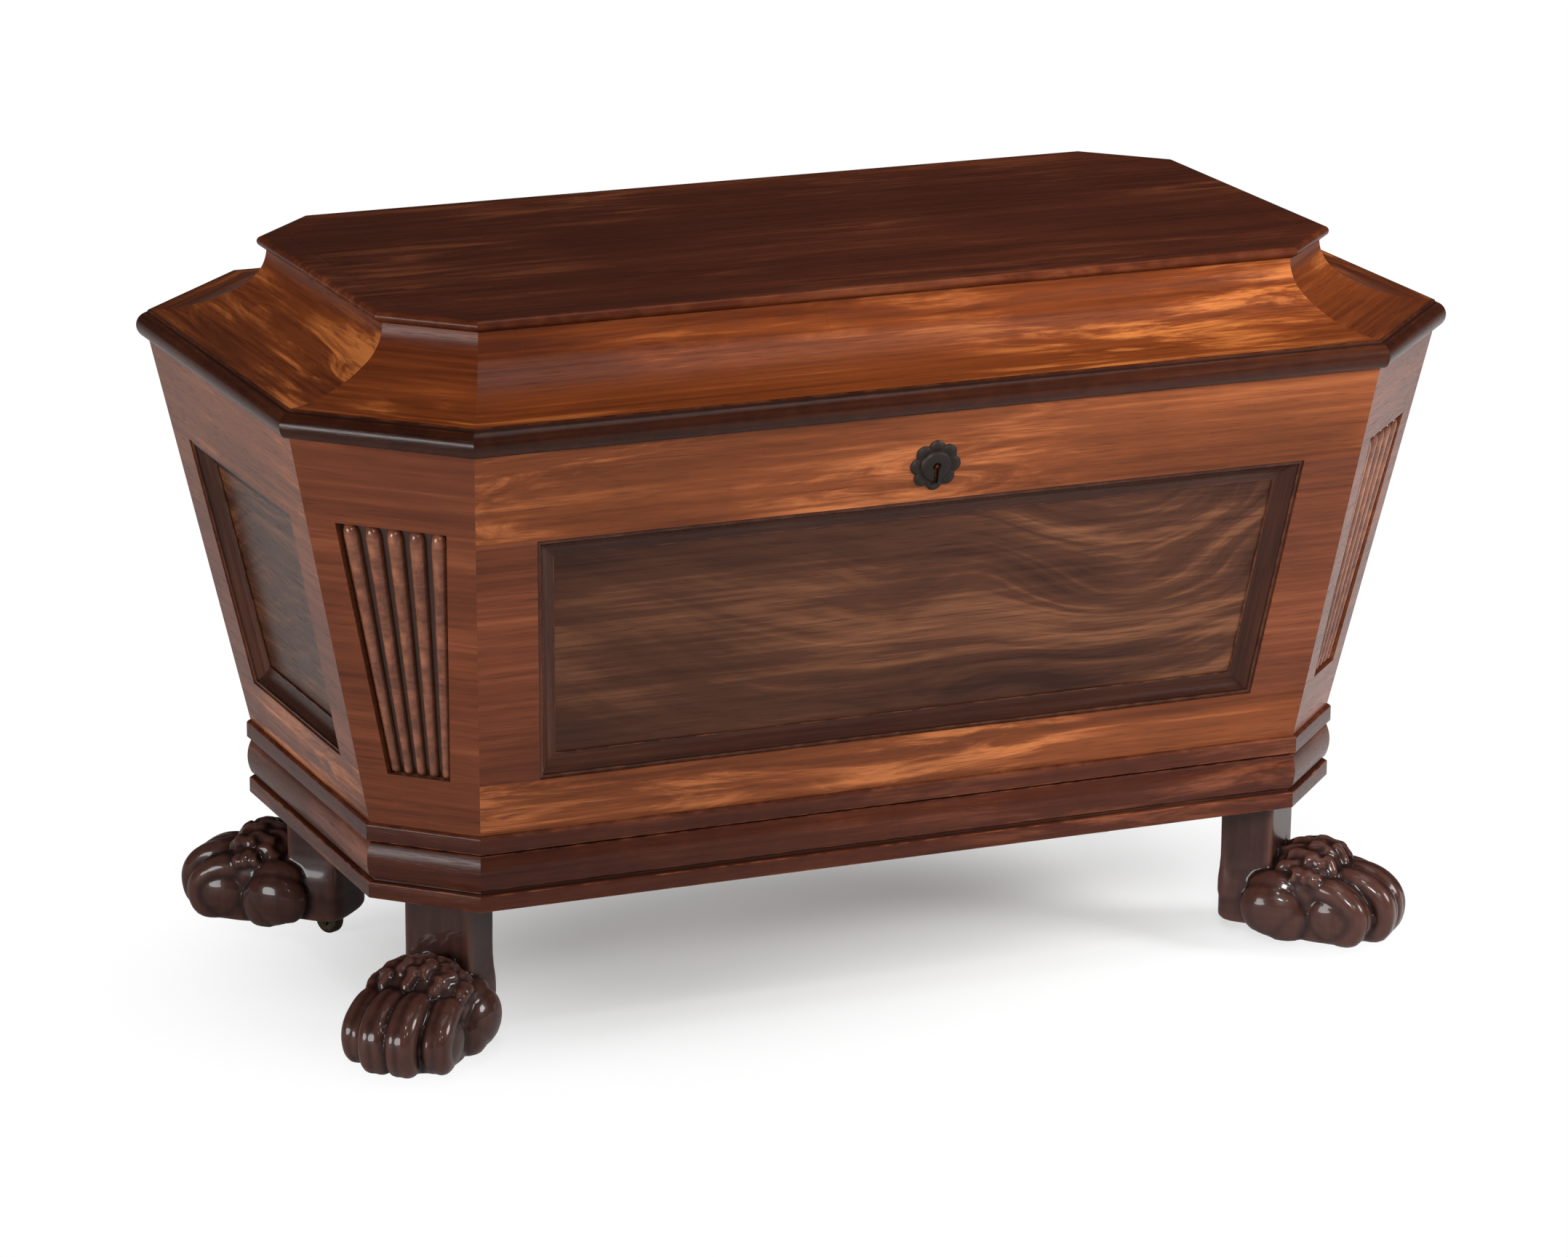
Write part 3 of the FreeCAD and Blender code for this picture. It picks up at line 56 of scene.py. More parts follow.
# A low index of refraction keeps what the polish mirrors weak, and the wood's colour deep.
FLAT_POLISH_IOR = 1.22
CARVED_POLISH_IOR = 1.2


# ------------------------------------------------------------------------------- shader building

class Value:
    """One value in a tree of nodes, with arithmetic that adds Math nodes."""

    def __init__(self, nodes: "Nodes", socket: bpy.types.NodeSocket) -> None:
        """Wraps an output socket of the tree."""
        self.nodes = nodes
        self.socket = socket

    def _math(self, operation: str, *others: "float | Value", clamp: bool = False) -> "Value":
        """Adds one Math node.

        Args:
            operation: The node's operation.
            others: Its second and third values.
            clamp: Whether the result is kept between 0 and 1.

        Returns:
            The node's value.
        """
        inputs = dict(enumerate((self, *others)))
        settings = {"operation": operation, "use_clamp": clamp}
        return self.nodes.value("Math", settings, inputs)

    def __add__(self, other: "float | Value") -> "Value":
        """Adds."""
        return self._math("ADD", other)

    __radd__ = __add__

    def __mul__(self, other: "float | Value") -> "Value":
        """Multiplies."""
        return self._math("MULTIPLY", other)

    __rmul__ = __mul__

    def __sub__(self, other: "float | Value") -> "Value":
        """Takes the other away."""
        return self._math("SUBTRACT", other)

    def __rsub__(self, other: float) -> "Value":
        """Takes this away from a number."""
        return self._math("MULTIPLY", -1.0)._math("ADD", other)

    def clamped(self) -> "Value":
        """Keeps the value between 0 and 1."""
        return self._math("ADD", 0.0, clamp=True)

    def stretched(self, low: float, high: float) -> "Value":
        """Maps low to 0 and high to 1, and clamps.

        Args:
            low: The value that becomes 0.
            high: The value that becomes 1.

        Returns:
            The stretched value.
        """
        return self._math("SUBTRACT", low)._math("DIVIDE", high - low, clamp=True)


class Nodes:
    """A tree of shader nodes while it is put together."""

    def __init__(self, tree: bpy.types.NodeTree) -> None:
        """Empties the tree."""
        self.tree = tree
        self.tree.nodes.clear()

    def node(self, kind: str, settings: dict[str, Any] | None = None,
             inputs: dict[str | int, Any] | None = None) -> bpy.types.Node:
        """Adds a node, sets it up and then fills its sockets.

        Args:
            kind: The node's type without its prefix.
            settings: The node's own properties. "stops" holds a ramp's stops.
            inputs: Values, plain numbers or output sockets by input name or number.

        Returns:
            The node.
        """
        made = self.tree.nodes.new("ShaderNode" + kind)
        for key, setting in (settings or {}).items():
            if key == "stops":
                self._set_stops(made.color_ramp, setting)
            else:
                setattr(made, key, setting)
        for key, given in (inputs or {}).items():
            socket = made.inputs[key]
            if isinstance(given, Value):
                self.tree.links.new(given.socket, socket)
            elif isinstance(given, bpy.types.NodeSocket):
                self.tree.links.new(given, socket)
            else:
                socket.default_value = given
        return made

    def value(self, kind: str, settings: dict[str, Any] | None = None,
              inputs: dict[str | int, Any] | None = None, output: str | int = 0) -> Value:
        """Adds a node and wraps one of its outputs."""
        return Value(self, self.node(kind, settings, inputs).outputs[output])

    @staticmethod
    def _set_stops(ramp: bpy.types.ColorRamp, stops: Sequence[tuple[float, Colour]]) -> None:
        """Gives a ramp its stops.

        Args:
            ramp: The ramp, which starts with two stops.
            stops: Places from 0 to 1 with their colours, in order.
        """
        while len(ramp.elements) < len(stops):
            ramp.elements.new(1.0)
        for element, (place, colour) in zip(ramp.elements, stops):
            element.position = place
            element.color = (*colour, 1.0)


class Recipe(Nodes):
    """A material while its nodes are put together."""

    def __init__(self, name: str) -> None:
        """Starts an empty material.

        Args:
            name: The material's name.
        """
        self.material = bpy.data.materials.new(name)
        self.material.use_nodes = True
        super().__init__(self.material.node_tree)

    def place(self, turn: float = 0.0, from_uv: bool = False) -> Value:
        """Coordinates with the grain along X.

        Args:
            turn: How far the grain is turned from X about Z, in degrees.
            from_uv: Whether they come from the piece's UV map instead, which is in metres.

        Returns:
            The coordinates.
        """
        source = self.value("TexCoord", output="UV" if from_uv else "Object")
        if not turn:
            return source
        return self.value("VectorRotate", {"rotation_type": "Z_AXIS"},
                          {"Vector": source, "Angle": math.radians(-turn)})

    def stretch(self, place: Value, scale: "float | Sequence[float]") -> Value:
        """Multiplies coordinates by one scale, or by a scale along each axis."""
        return self.value("VectorMath", {"operation": "MULTIPLY"},
                          {0: place, 1: np.broadcast_to(scale, 3).tolist()})

    def noise(self, place: Value, scale: "float | Sequence[float]", detail: float = 3.0,
              roughness: float = 0.55, distortion: float = 0.0) -> Value:
        """Noise between 0 and 1.

        Args:
            place: Coordinates in metres.
            scale: Features per metre, or one such number along each axis.
            detail: Octaves.
            roughness: Strength of the finer octaves.
            distortion: How far the pattern is stirred.

        Returns:
            The noise.
        """
        return self.value("TexNoise", {}, {"Vector": self.stretch(place, scale), "Scale": 1.0,
                                           "Detail": detail, "Roughness": roughness,
                                           "Distortion": distortion})

    def mark(self, name: str) -> Value:
        """The ridge or hollow value that the piece carries in its points."""
        return self.value("Attribute", {"attribute_name": name}, {}, "Fac")

    def ramp(self, factor: Value, stops: Sequence[tuple[float, Colour]]) -> Value:
        """A colour from a factor."""
        return self.value("ValToRGB", {"stops": stops}, {"Fac": factor})

    def mix(self, factor: Value, first: "Value | Colour", second: "Value | Colour") -> Value:
        """Mixes two colours.

        Args:
            factor: 0 for the first, 1 for the second.
            first: The colour underneath.
            second: The colour on top.

        Returns:
            The mixed colour.
        """
        def full(colour: "Value | Colour") -> "Value | tuple[float, ...]":
            """A colour with its alpha, or the value as it is."""
            return colour if isinstance(colour, Value) else (*colour, 1.0)
        return self.value("Mix", {"data_type": "RGBA"},
                          {0: factor, 6: full(first), 7: full(second)}, output=2)

    def bump(self, height: Value, distance: float, strength: float = 1.0) -> Value:
        """A bumped normal from a height between 0 and 1.

        Args:
            height: The height.
            distance: How high 1 stands, in metres.
            strength: How much of the bump is used.

        Returns:
            The normal.
        """
        return self.value("Bump", {}, {"Height": height, "Distance": distance,
                                       "Strength": strength})

    def finish(self, **inputs: Any) -> bpy.types.Material:
        """Closes the material with one Principled shader.

        Args:
            inputs: Its sockets, with underscores for the spaces in their names.

        Returns:
            The material.
        """
        named = {key.replace("_", " "): given for key, given in inputs.items()}
        shader = self.node("BsdfPrincipled", {}, named)
        self.node("OutputMaterial", {}, {"Surface": shader.outputs[0]})
        return self.material


# ------------------------------------------------------------------------------------- finishes

class Finish(Protocol):
    """Anything that makes a material of its own name."""

    name: str

    def make(self) -> bpy.types.Material:
        """Builds the material."""


class Figure(Enum):
    """How a veneer's grain is figured."""

    STRAIGHT = "straight"
    CROSSBANDED = "crossbanded"
    RIBBON = "ribbon"
    FLAME = "flame"


@dataclass(frozen=True)
class Tones:
    """The darkest, the middle and the palest colour of a wood."""

    dark: Colour
    middle: Colour
    pale: Colour


def scaled(colour: Colour, share: float) -> Colour:
    """A colour made darker, or lighter up to white."""
    return tuple(min(1.0, channel * share) for channel in colour)


@dataclass(frozen=True)
class Mahogany:
    """French-polished mahogany.

    The grain runs along X of its coordinates. The tone is the sum of broad bands, fine streaks and
    the figure, and a ramp turns it into a colour. With wear and painted light, ridges are rubbed
    pale with a painted highlight, and hollows are darkened by painted shade and dirt.
    """

    name: str
    tones: Tones
    figure: Figure = Figure.STRAIGHT
    turn: float = 0.0
    from_uv: bool = False
    # Rubs the ridges pale with wear and a painted highlight, and darkens the hollows with painted
    # shade and dirt.
    wear_and_painted_light: bool = False
    roughness: float = 0.24
    polish: float = 0.0
    contrast: float = 1.0

    def _figure(self, recipe: Recipe, place: Value) -> Value:
        """The part of the tone that the figure gives, about 0 in the mean.

        Args:
            recipe: The material.
            place: Coordinates along the grain.

        Returns:
            The figure's share of the tone.
        """
        if self.figure is Figure.STRAIGHT:
            return (recipe.noise(place, (5.0, 14.0, 14.0), 2.0) - 0.5) * 0.35
        if self.figure is Figure.CROSSBANDED:
            return (recipe.noise(place, (7.0, 30.0, 30.0), 2.0) - 0.5) * 0.25
        if self.figure is Figure.RIBBON:
            wisps = recipe.noise(place, (8.0, 62.0, 62.0), 5.0, 0.66, 0.9).stretched(0.44, 0.72)
            patches = recipe.noise(place, (4.2, 9.0, 9.0), 1.0).stretched(0.4, 0.62)
            return wisps * patches * 0.85 - 0.15
        return self._flame(recipe, place)

    @staticmethod
    def _flame(recipe: Recipe, place: Value) -> Value:
        """Feathered streaks that curl about a heart near one end like a flame.

        The streaks follow level lines of the height less the curl times the square of the way
        from the heart. Slow noise stirs them, little at the plain end and strongly at the heart.

        Args:
            recipe: The material.
            place: Coordinates along the grain.

        Returns:
            The figure's share of the tone.
        """
        parts = recipe.node("SeparateXYZ", {}, {0: place})
        along, up = Value(recipe, parts.outputs[0]), Value(recipe, parts.outputs[2])
        plain_end, heart, curl = -0.18, 0.16, 0.6
        towards_heart = along.stretched(plain_end, heart)
        lift = (recipe.noise(place, (5.0, 5.0, 8.0), 1.0) - 0.5) * (towards_heart * 0.19 + 0.03)
        shift = (recipe.noise(place, (7.0, 7.0, 6.0), 1.0) - 0.5) * (towards_heart * 0.07 + 0.02)
        from_heart = along - heart
        course = recipe.value("CombineXYZ", {}, {
            0: along * 0.35 + shift, 1: 0.0, 2: up - from_heart * from_heart * curl + lift})
        feather = recipe.noise(course, (16.0, 1.0, 78.0), 5.0, 0.64, 0.3)
        broad = recipe.noise(course, (5.0, 1.0, 14.0), 2.0)
        return (feather - 0.5) * (towards_heart * 1.25 + 0.3) + (broad - 0.5) * 0.8

    def make(self) -> bpy.types.Material:
        """Builds the material.

        Returns:
            The finished material.
        """
        recipe = Recipe(self.name)
        place = recipe.place(self.turn, self.from_uv)
        bands = recipe.noise(place, (1.3, 22.0, 22.0), 3.0, 0.5, 0.5)
        streaks = recipe.noise(place, (7.0, 240.0, 240.0), 4.0, 0.65)
        pores = recipe.noise(place, (55.0, 1300.0, 1300.0), 2.0, 0.5).stretched(0.56, 0.72)
        tone = (bands - 0.5) * 0.8 + (streaks - 0.5) * 0.75 + self._figure(recipe, place)
        tone = (tone * self.contrast + 0.5).clamped()
        tones = self.tones
        colour = recipe.ramp(tone, [(0.12, tones.dark), (0.5, tones.middle), (0.88, tones.pale)])
        colour = recipe.mix(pores * 0.42, colour, scaled(tones.dark, 0.35))
        haze = recipe.noise(recipe.place(), 9.0, 3.0, 0.6)
        colour = recipe.mix(haze.stretched(0.35, 0.75) * 0.28, colour, scaled(tones.dark, 0.55))
        rough = haze * 0.1 + pores * 0.12 + (self.roughness - 0.05)
        # Ridges: rubbed wear plus a painted highlight. Hollows: painted shade plus some dirt.
        if self.wear_and_painted_light:
            wear_and_glint_noise = recipe.noise(recipe.place(), 90.0, 3.0).stretched(0.42, 0.7)
            ridge, hollow = recipe.mark("ridge"), recipe.mark("hollow")
            colour = recipe.mix((ridge * wear_and_glint_noise * 0.75).clamped(), colour, scaled(tones.pale, 1.5))
            colour = recipe.mix((hollow * 0.85).clamped(), colour, scaled(tones.dark, 0.3))
            rough = rough + hollow * 0.2
        relief = recipe.bump(streaks * 0.5 - pores * 0.6 + haze * 0.8, 0.00012, 0.55)
        return recipe.finish(Base_Color=colour, Roughness=rough.clamped(), Normal=relief,
                             Coat_Weight=self.polish, Coat_Roughness=0.1,
                             IOR=FLAT_POLISH_IOR)


@dataclass(frozen=True)
class CarvedMahogany:
    """Dark, thickly polished carved wood, paler on the ridges with wear and a painted highlight,
    and nearly black in the hollows with painted shade and dirt.
    """

    name: str
    tones: Tones = Tones((0.005, 0.002, 0.0016), (0.026, 0.0095, 0.0072), (0.07, 0.028, 0.02))

    def make(self) -> bpy.types.Material:
        """Builds the material from the piece's hollow and ridge attributes.

        Returns:
            The finished material.
        """
        recipe = Recipe(self.name)
        place = recipe.place()
        grain = recipe.noise(place, (180.0, 180.0, 22.0), 4.0, 0.6)
        patches = recipe.noise(place, 34.0, 3.0)
        ridge, hollow = recipe.mark("ridge"), recipe.mark("hollow")
        # The ridges add wear and a painted highlight, and the hollows painted shade and dirt.
        tone = grain * 0.45 + patches * 0.35 + ridge * 0.3 - hollow * 0.3 + 0.1
        tones = self.tones
        colour = recipe.ramp(tone.clamped(), [(0.15, tones.dark), (0.5, tones.middle),
                                              (0.95, tones.pale)])
        tool_marks = recipe.noise(place, 120.0, 2.0)
        relief = recipe.bump(tool_marks * 0.7 + grain * 0.3, 0.00022, 0.6)
        rough = patches * 0.14 + hollow * 0.2 + 0.24
        return recipe.finish(Base_Color=colour, Roughness=rough.clamped(), Normal=relief,
                             Coat_Weight=0.3, Coat_Roughness=0.08, IOR=CARVED_POLISH_IOR)


@dataclass(frozen=True)
class PlainTimber:
    """Unpolished secondary timber with open straight grain."""

    name: str
    dark: Colour = (0.075, 0.035, 0.018)
    pale: Colour = (0.23, 0.12, 0.062)

    def make(self) -> bpy.types.Material:
        """Builds the material.

        Returns:
            The finished material.
        """
        recipe = Recipe(self.name)
        place = recipe.place()
        bands = recipe.noise(place, (2.0, 36.0, 36.0), 4.0, 0.6, 0.4)
        streaks = recipe.noise(place, (12.0, 420.0, 420.0), 3.0, 0.6)
        tone = bands * 0.6 + streaks * 0.4
        colour = recipe.ramp(tone, [(0.3, self.dark), (0.7, self.pale)])
        stain = recipe.noise(place, 7.0, 3.0).stretched(0.5, 0.75)
        colour = recipe.mix(stain * 0.5, colour, scaled(self.dark, 0.5))
        return recipe.finish(Base_Color=colour, Roughness=(stain * 0.1 + 0.62).clamped(),
                             Normal=recipe.bump(streaks, 0.00025, 0.7))


@dataclass(frozen=True)
class AgedMetal:
    """Metal with fine scratches and a tarnish that gathers in patches, dented where beaten."""

    name: str
    bright: Colour
    tarnish: Colour
    cover: float = 0.55
    roughness: float = 0.32
    beaten: float = 0.0

    def make(self) -> bpy.types.Material:
        """Builds the material.

        Returns:
            The finished material.
        """
        recipe = Recipe(self.name)
        place = recipe.place()
        patches = recipe.noise(place, 70.0, 5.0, 0.65)
        specks = recipe.noise(place, 600.0, 3.0, 0.6)
        scratches = recipe.noise(place, (2500.0, 160.0, 900.0), 2.0, 0.5)
        film = patches * 0.75 + specks * 0.35
        film = film.stretched(0.95 - self.cover, 1.1 - self.cover * 0.6)
        colour = recipe.mix(film, self.bright, self.tarnish)
        dents = recipe.noise(place, 26.0, 2.0)
        height = specks * 0.3 + scratches * 0.35 + dents * self.beaten
        rough = film * 0.3 + scratches * 0.1 + (self.roughness - 0.05)
        return recipe.finish(Base_Color=colour, Roughness=rough.clamped(),
                             Metallic=(1.0 - film * 0.35).clamped(),
                             Normal=recipe.bump(height, 0.0002 + 0.0006 * self.beaten, 0.5))


@dataclass(frozen=True)
class StudioFloor:
    """A pale matt floor that fades into the white background away from the object.

    The fade runs over an ellipse with nearly the proportions of the object. The camera sees a
    small share of plain white everywhere, so that shadows on the floor stay light. A polished
    surface mirrors a darker floor, which keeps its colour deep.
    """

    name: str = "studio_floor"
    shade: Colour = (0.84, 0.84, 0.84)
    veil: float = 0.2
    mirrored: float = 0.75
    squeeze: float = 0.62
    fade_start: float = 0.08
    fade_end: float = 0.31

    def make(self) -> bpy.types.Material:
        """Builds the material.

        Returns:
            The finished material.
        """
        recipe = Recipe(self.name)
        spot = recipe.stretch(recipe.place(), (self.squeeze, 1.0, 1.0))
        away = recipe.value("VectorMath", {"operation": "LENGTH"}, {0: spot}, "Value")
        fade = recipe.value("MapRange", {"interpolation_type": "SMOOTHSTEP"},
                            {"Value": away, "From Min": self.fade_start,
                             "From Max": self.fade_end, "To Min": self.veil, "To Max": 1.0})
        seen = recipe.value("LightPath", output="Is Camera Ray")
        polish = recipe.value("LightPath", output="Is Glossy Ray")
        pale = recipe.node("BsdfDiffuse", {}, {"Color": (*self.shade, 1.0)})
        dim = recipe.node("BsdfDiffuse", {},
                          {"Color": (*scaled(self.shade, self.mirrored), 1.0)})
        matt = recipe.node("MixShader", {}, {0: polish, 1: pale.outputs[0], 2: dim.outputs[0]})
        white = recipe.node("Emission", {}, {"Color": (1.0, 1.0, 1.0, 1.0), "Strength": 1.0})
        mixed = recipe.node("MixShader", {}, {0: fade * seen, 1: matt.outputs[0],
                                              2: white.outputs[0]})
        recipe.node("OutputMaterial", {}, {"Surface": mixed.outputs[0]})
        return recipe.material


class Finishes:
    """Every finish of the object, made once and kept by name."""

    def __init__(self) -> None:
        """Starts with no finish made."""
        self._made: dict[str, bpy.types.Material] = {}

    def get(self, finish: Finish) -> bpy.types.Material:
        """The material of a finish, made when it is first asked for.

        Args:
            finish: The finish.

        Returns:
            Its material.
        """
        if finish.name not in self._made:
            self._made[finish.name] = finish.make()
        return self._made[finish.name]


RAIL = Tones((0.055, 0.013, 0.004), (0.14, 0.037, 0.011), (0.33, 0.105, 0.033))
CROSSBAND = Tones((0.038, 0.01, 0.0046), (0.103, 0.027, 0.0108), (0.21, 0.064, 0.0255))
PANEL = Tones((0.02, 0.0065, 0.0038), (0.053, 0.0185, 0.009), (0.155, 0.06, 0.027))
MOULDING = Tones((0.009, 0.003, 0.002), (0.036, 0.012, 0.007), (0.09, 0.032, 0.017))
REED = Tones((0.035, 0.011, 0.006), (0.095, 0.03, 0.015), (0.19, 0.068, 0.034))
PLINTH = Tones((0.018, 0.0045, 0.003), (0.052, 0.013, 0.006), (0.14, 0.042, 0.019))
RIM = Tones((0.008, 0.002, 0.001), (0.026, 0.0062, 0.0025), (0.075, 0.021, 0.008))
COVE = Tones((0.055, 0.011, 0.003), (0.135, 0.03, 0.0065), (0.34, 0.104, 0.025))
LID_TOP = Tones((0.028, 0.0055, 0.002), (0.06, 0.0125, 0.0045), (0.115, 0.031, 0.011))

BRASS = AgedMetal("aged_brass", (0.42, 0.28, 0.11), (0.06, 0.04, 0.022), 0.6, 0.34)
DARK_BRASS = AgedMetal("dark_brass", (0.16, 0.1, 0.05), (0.02, 0.014, 0.01), 0.75, 0.34)
BRONZED = AgedMetal("bronzed_brass", (0.04, 0.027, 0.021), (0.008, 0.006, 0.0055), 0.7, 0.34)
IRON = AgedMetal("dull_iron", (0.2, 0.19, 0.18), (0.045, 0.03, 0.022), 0.6, 0.42)
LEAD = AgedMetal("lead_sheet", (0.3, 0.31, 0.32), (0.13, 0.135, 0.14), 0.6, 0.55, beaten=1.0)


# ------------------------------------------------------------------------------------- geometry

def columns(*parts: "float | Array") -> Array:
    """Coordinates side by side along a new last axis, each spread to the shape of all."""
    return np.stack(np.broadcast_arrays(*parts), axis=-1)


def bulged(wave: Array, power: "float | Array") -> Array:
    """A sine or cosine raised to a power with its sign kept, as a superellipse needs."""
    return np.sign(wave) * np.abs(wave) ** power


@dataclass(frozen=True)
class CaseOutline:
    """The outline with eight sides that the whole piece follows."""

    half_width: float = 0.3965
    half_depth: float = 0.228
    corner_cut: float = 0.0875
    bottom: float = 0.154
    top: float = 0.414
    lean: float = 0.0572

    @property
    def lean_angle(self) -> float:
        """How far the faces lean from upright, in radians."""
        return math.atan(self.lean / (self.top - self.bottom))

    def lean_at(self, height: "float | Array") -> "float | Array":
        """Depth of the leaning face at a height."""
        return self.lean * (self.top - height) / (self.top - self.bottom)

    def corners(self, depth: Array) -> Array:
        """The eight corners of the outline at each depth.

        Half the width and half the depth shrink by the depth, and the straight part of each side
        shrinks by the depth times the tangent of 22.5 degrees.

        Args:
            depth: Depths inwards from the case's top outline, of any shape.

        Returns:
            Places in plan, of shape (8, *depth.shape, 2), anticlockwise from the front's right
            end.
        """
        shrink = np.asarray(depth) * MITRE
        half_x, half_y = self.half_width - depth, self.half_depth - depth
        flat_x = self.half_width - self.corner_cut - shrink
        flat_y = self.half_depth - self.corner_cut - shrink
        places = [(flat_x, -half_y), (half_x, -flat_y), (half_x, flat_y), (flat_x, half_y),
                  (-flat_x, half_y), (-half_x, flat_y), (-half_x, -flat_y), (-flat_x, -half_y)]
        return np.array([columns(*place) for place in places])


OUTLINE = CaseOutline()


@dataclass(frozen=True)
class Side:
    """One of the eight sides: its name and how far it is turned about Z from the front."""

    name: str
    turn: float

    @property
    def middle(self) -> Array:
        """The middle of the side's top edge, in plan.

        The turn's sine and cosine, rounded, say which way the side lies from the origin. The
        middle of a canted side is half a corner cut short of the full half width and depth.

        Returns:
            Its X and Y.
        """
        angle = math.radians(self.turn)
        towards = np.array([round(math.sin(angle)), -round(math.cos(angle))])
        short = OUTLINE.corner_cut / 2 if self.turn % 90.0 else 0.0
        return towards * np.array([OUTLINE.half_width - short, OUTLINE.half_depth - short])

    @property
    def half_length(self) -> float:
        """Half the length of the side's top edge.

        A canted side is the slope of a corner cut. A panelled one is as long as the outline is
        wide or deep, less a corner cut at each end.

        Returns:
            The length in metres.
        """
        if self.turn % 90.0:
            return OUTLINE.corner_cut / math.sqrt(2.0)
        half = OUTLINE.half_width if self.grain_turn == 0.0 else OUTLINE.half_depth
        return half - OUTLINE.corner_cut

    @property
    def grain_turn(self) -> float:
        """How far the side's level grain is turned from X about Z: 0, 45, 90 or 135 degrees."""
        return self.turn % 180.0

    def placed(self, points: Array) -> Array:
        """Moves points from the side's frame to the object's.

        The plan is turned about Z by the side's turn and moved to the side's middle.

        Args:
            points: Places as (along, depth, height), of shape (..., 3).

        Returns:
            The same places in the object's frame.
        """
        angle = math.radians(self.turn)
        along, depth = points[..., 0], points[..., 1]
        x = self.middle[0] + along * math.cos(angle) - depth * math.sin(angle)
        y = self.middle[1] + along * math.sin(angle) + depth * math.cos(angle)
        return columns(x, y, points[..., 2])


PANELLED = tuple(Side(name, turn) for name, turn in
                 (("front", 0.0), ("right", 90.0), ("back", 180.0), ("left", 270.0)))
CANTED = tuple(Side(name, turn) for name, turn in
               (("front_right", 45.0), ("back_right", 135.0), ("back_left", 225.0),
                ("front_left", 315.0)))


def rounded(points: Sequence[Sequence[float]], radius: float = 0.0006, steps: int = 3) -> Array:
    """A closed outline with its corners eased.

    Each corner gives way to a parabola that starts and ends a radius away from it, or less beside
    a short edge.

    Args:
        points: The outline's corners.
        radius: How far from a corner its curve begins.
        steps: Pieces in each curve.

    Returns:
        The eased outline, of shape (n, 2).
    """
    corner = np.asarray(points, float)
    before, after = np.roll(corner, 1, axis=0), np.roll(corner, -1, axis=0)
    to_before, to_after = before - corner, after - corner
    back_length = np.linalg.norm(to_before, axis=1, keepdims=True)
    on_length = np.linalg.norm(to_after, axis=1, keepdims=True)
    start = corner + to_before * np.minimum(radius / back_length, 0.45)
    end = corner + to_after * np.minimum(radius / on_length, 0.45)
    share = np.linspace(0.0, 1.0, steps + 1)[None, :, None]
    curve = ((1 - share) ** 2 * start[:, None] + 2 * share * (1 - share) * corner[:, None]
             + share ** 2 * end[:, None])
    return curve.reshape(-1, 2)


def arc(start: Sequence[float], end: Sequence[float], radius: float, bend: int,
        steps: int = 14) -> list[tuple[float, float]]:
    """Points along a circle's short arc, without the last.

    The centre lies on the chord's middle line, on the left of the way for bend 1 and on the right
    for bend -1.

    Args:
        start: Where the arc begins.
        end: Where it ends.
        radius: The circle's radius.
        bend: Which side the centre is on.
        steps: Pieces in the arc.

    Returns:
        Points from the start on.
    """
    first, last = np.asarray(start, float), np.asarray(end, float)
    chord = last - first
    length = float(np.linalg.norm(chord))
    rise = math.sqrt(max(radius ** 2 - length ** 2 / 4, 0.0))
    centre = (first + last) / 2 + np.array([-chord[1], chord[0]]) / length * rise * bend
    begin = math.atan2(*(first - centre)[::-1])
    sweep = 2.0 * math.asin(min(length / 2 / radius, 1.0)) * bend
    angles = begin + sweep * np.linspace(0.0, 1.0, steps + 1)[:-1]
    return [(float(x), float(y)) for x, y in
            zip(centre[0] + radius * np.cos(angles), centre[1] + radius * np.sin(angles))]


def profile_marks(profile: Array, reach: float = 0.0012) -> tuple[Array, Array]:
    """How far each point of a closed profile is a ridge or a hollow.

    The turn of the outline at a point, per length, is positive on ridges of an anticlockwise
    outline. Its positive and negative parts are scaled to lie between 0 and 1.

    Args:
        profile: The outline, of shape (n, 2).
        reach: The length over which a quarter turn counts as 1.

    Returns:
        The ridge and hollow values.
    """
    before, after = np.roll(profile, 1, axis=0), np.roll(profile, -1, axis=0)
    into, out = profile - before, after - profile
    turn = np.arctan2(into[:, 0] * out[:, 1] - into[:, 1] * out[:, 0], (into * out).sum(1))
    area = (profile[:, 0] * after[:, 1] - after[:, 0] * profile[:, 1]).sum()
    length = (np.linalg.norm(into, axis=1) + np.linalg.norm(out, axis=1)) / 2
    bend = turn * np.sign(area) / np.maximum(length, 1e-6) * reach / (math.pi / 2)
    return np.clip(bend, 0.0, 1.0), np.clip(-bend, 0.0, 1.0)


def signed_volume(points: Array, quads: Array) -> float:
    """Six times the volume inside a closed mesh, negative when its faces point inwards.

    Each quad is cut into two triangles, and the triple products of their corners are added up.

    Args:
        points: The mesh's points.
        quads: Its faces.

    Returns:
        The sum.
    """
    a, b, c, d = (points[quads[:, corner]] for corner in range(4))
    first = (np.cross(a, b) * c).sum()
    return float(first + (np.cross(a, c) * d).sum())


def rows_of(items: Any, key: str, width: int, kind: type) -> Array:
    """One property of many parts of a mesh.

    Args:
        items: The mesh's points, edges, corners or an attribute's values.
        key: The property's name.
        width: How many numbers it has.
        kind: What they are.

    Returns:
        A row for each part, of shape (n, width).
    """
    found = np.empty(len(items) * width, kind)
    items.foreach_get(key, found)
    return found.reshape(-1, width)


def added(name: str, data: bpy.types.ID) -> bpy.types.Object:
    """A new object of the scene.

    Args:
        name: Its name.
        data: Its mesh, lamp or camera.

    Returns:
        The object.
    """
    made = bpy.data.objects.new(name, data)
    bpy.context.scene.collection.objects.link(made)
    return made


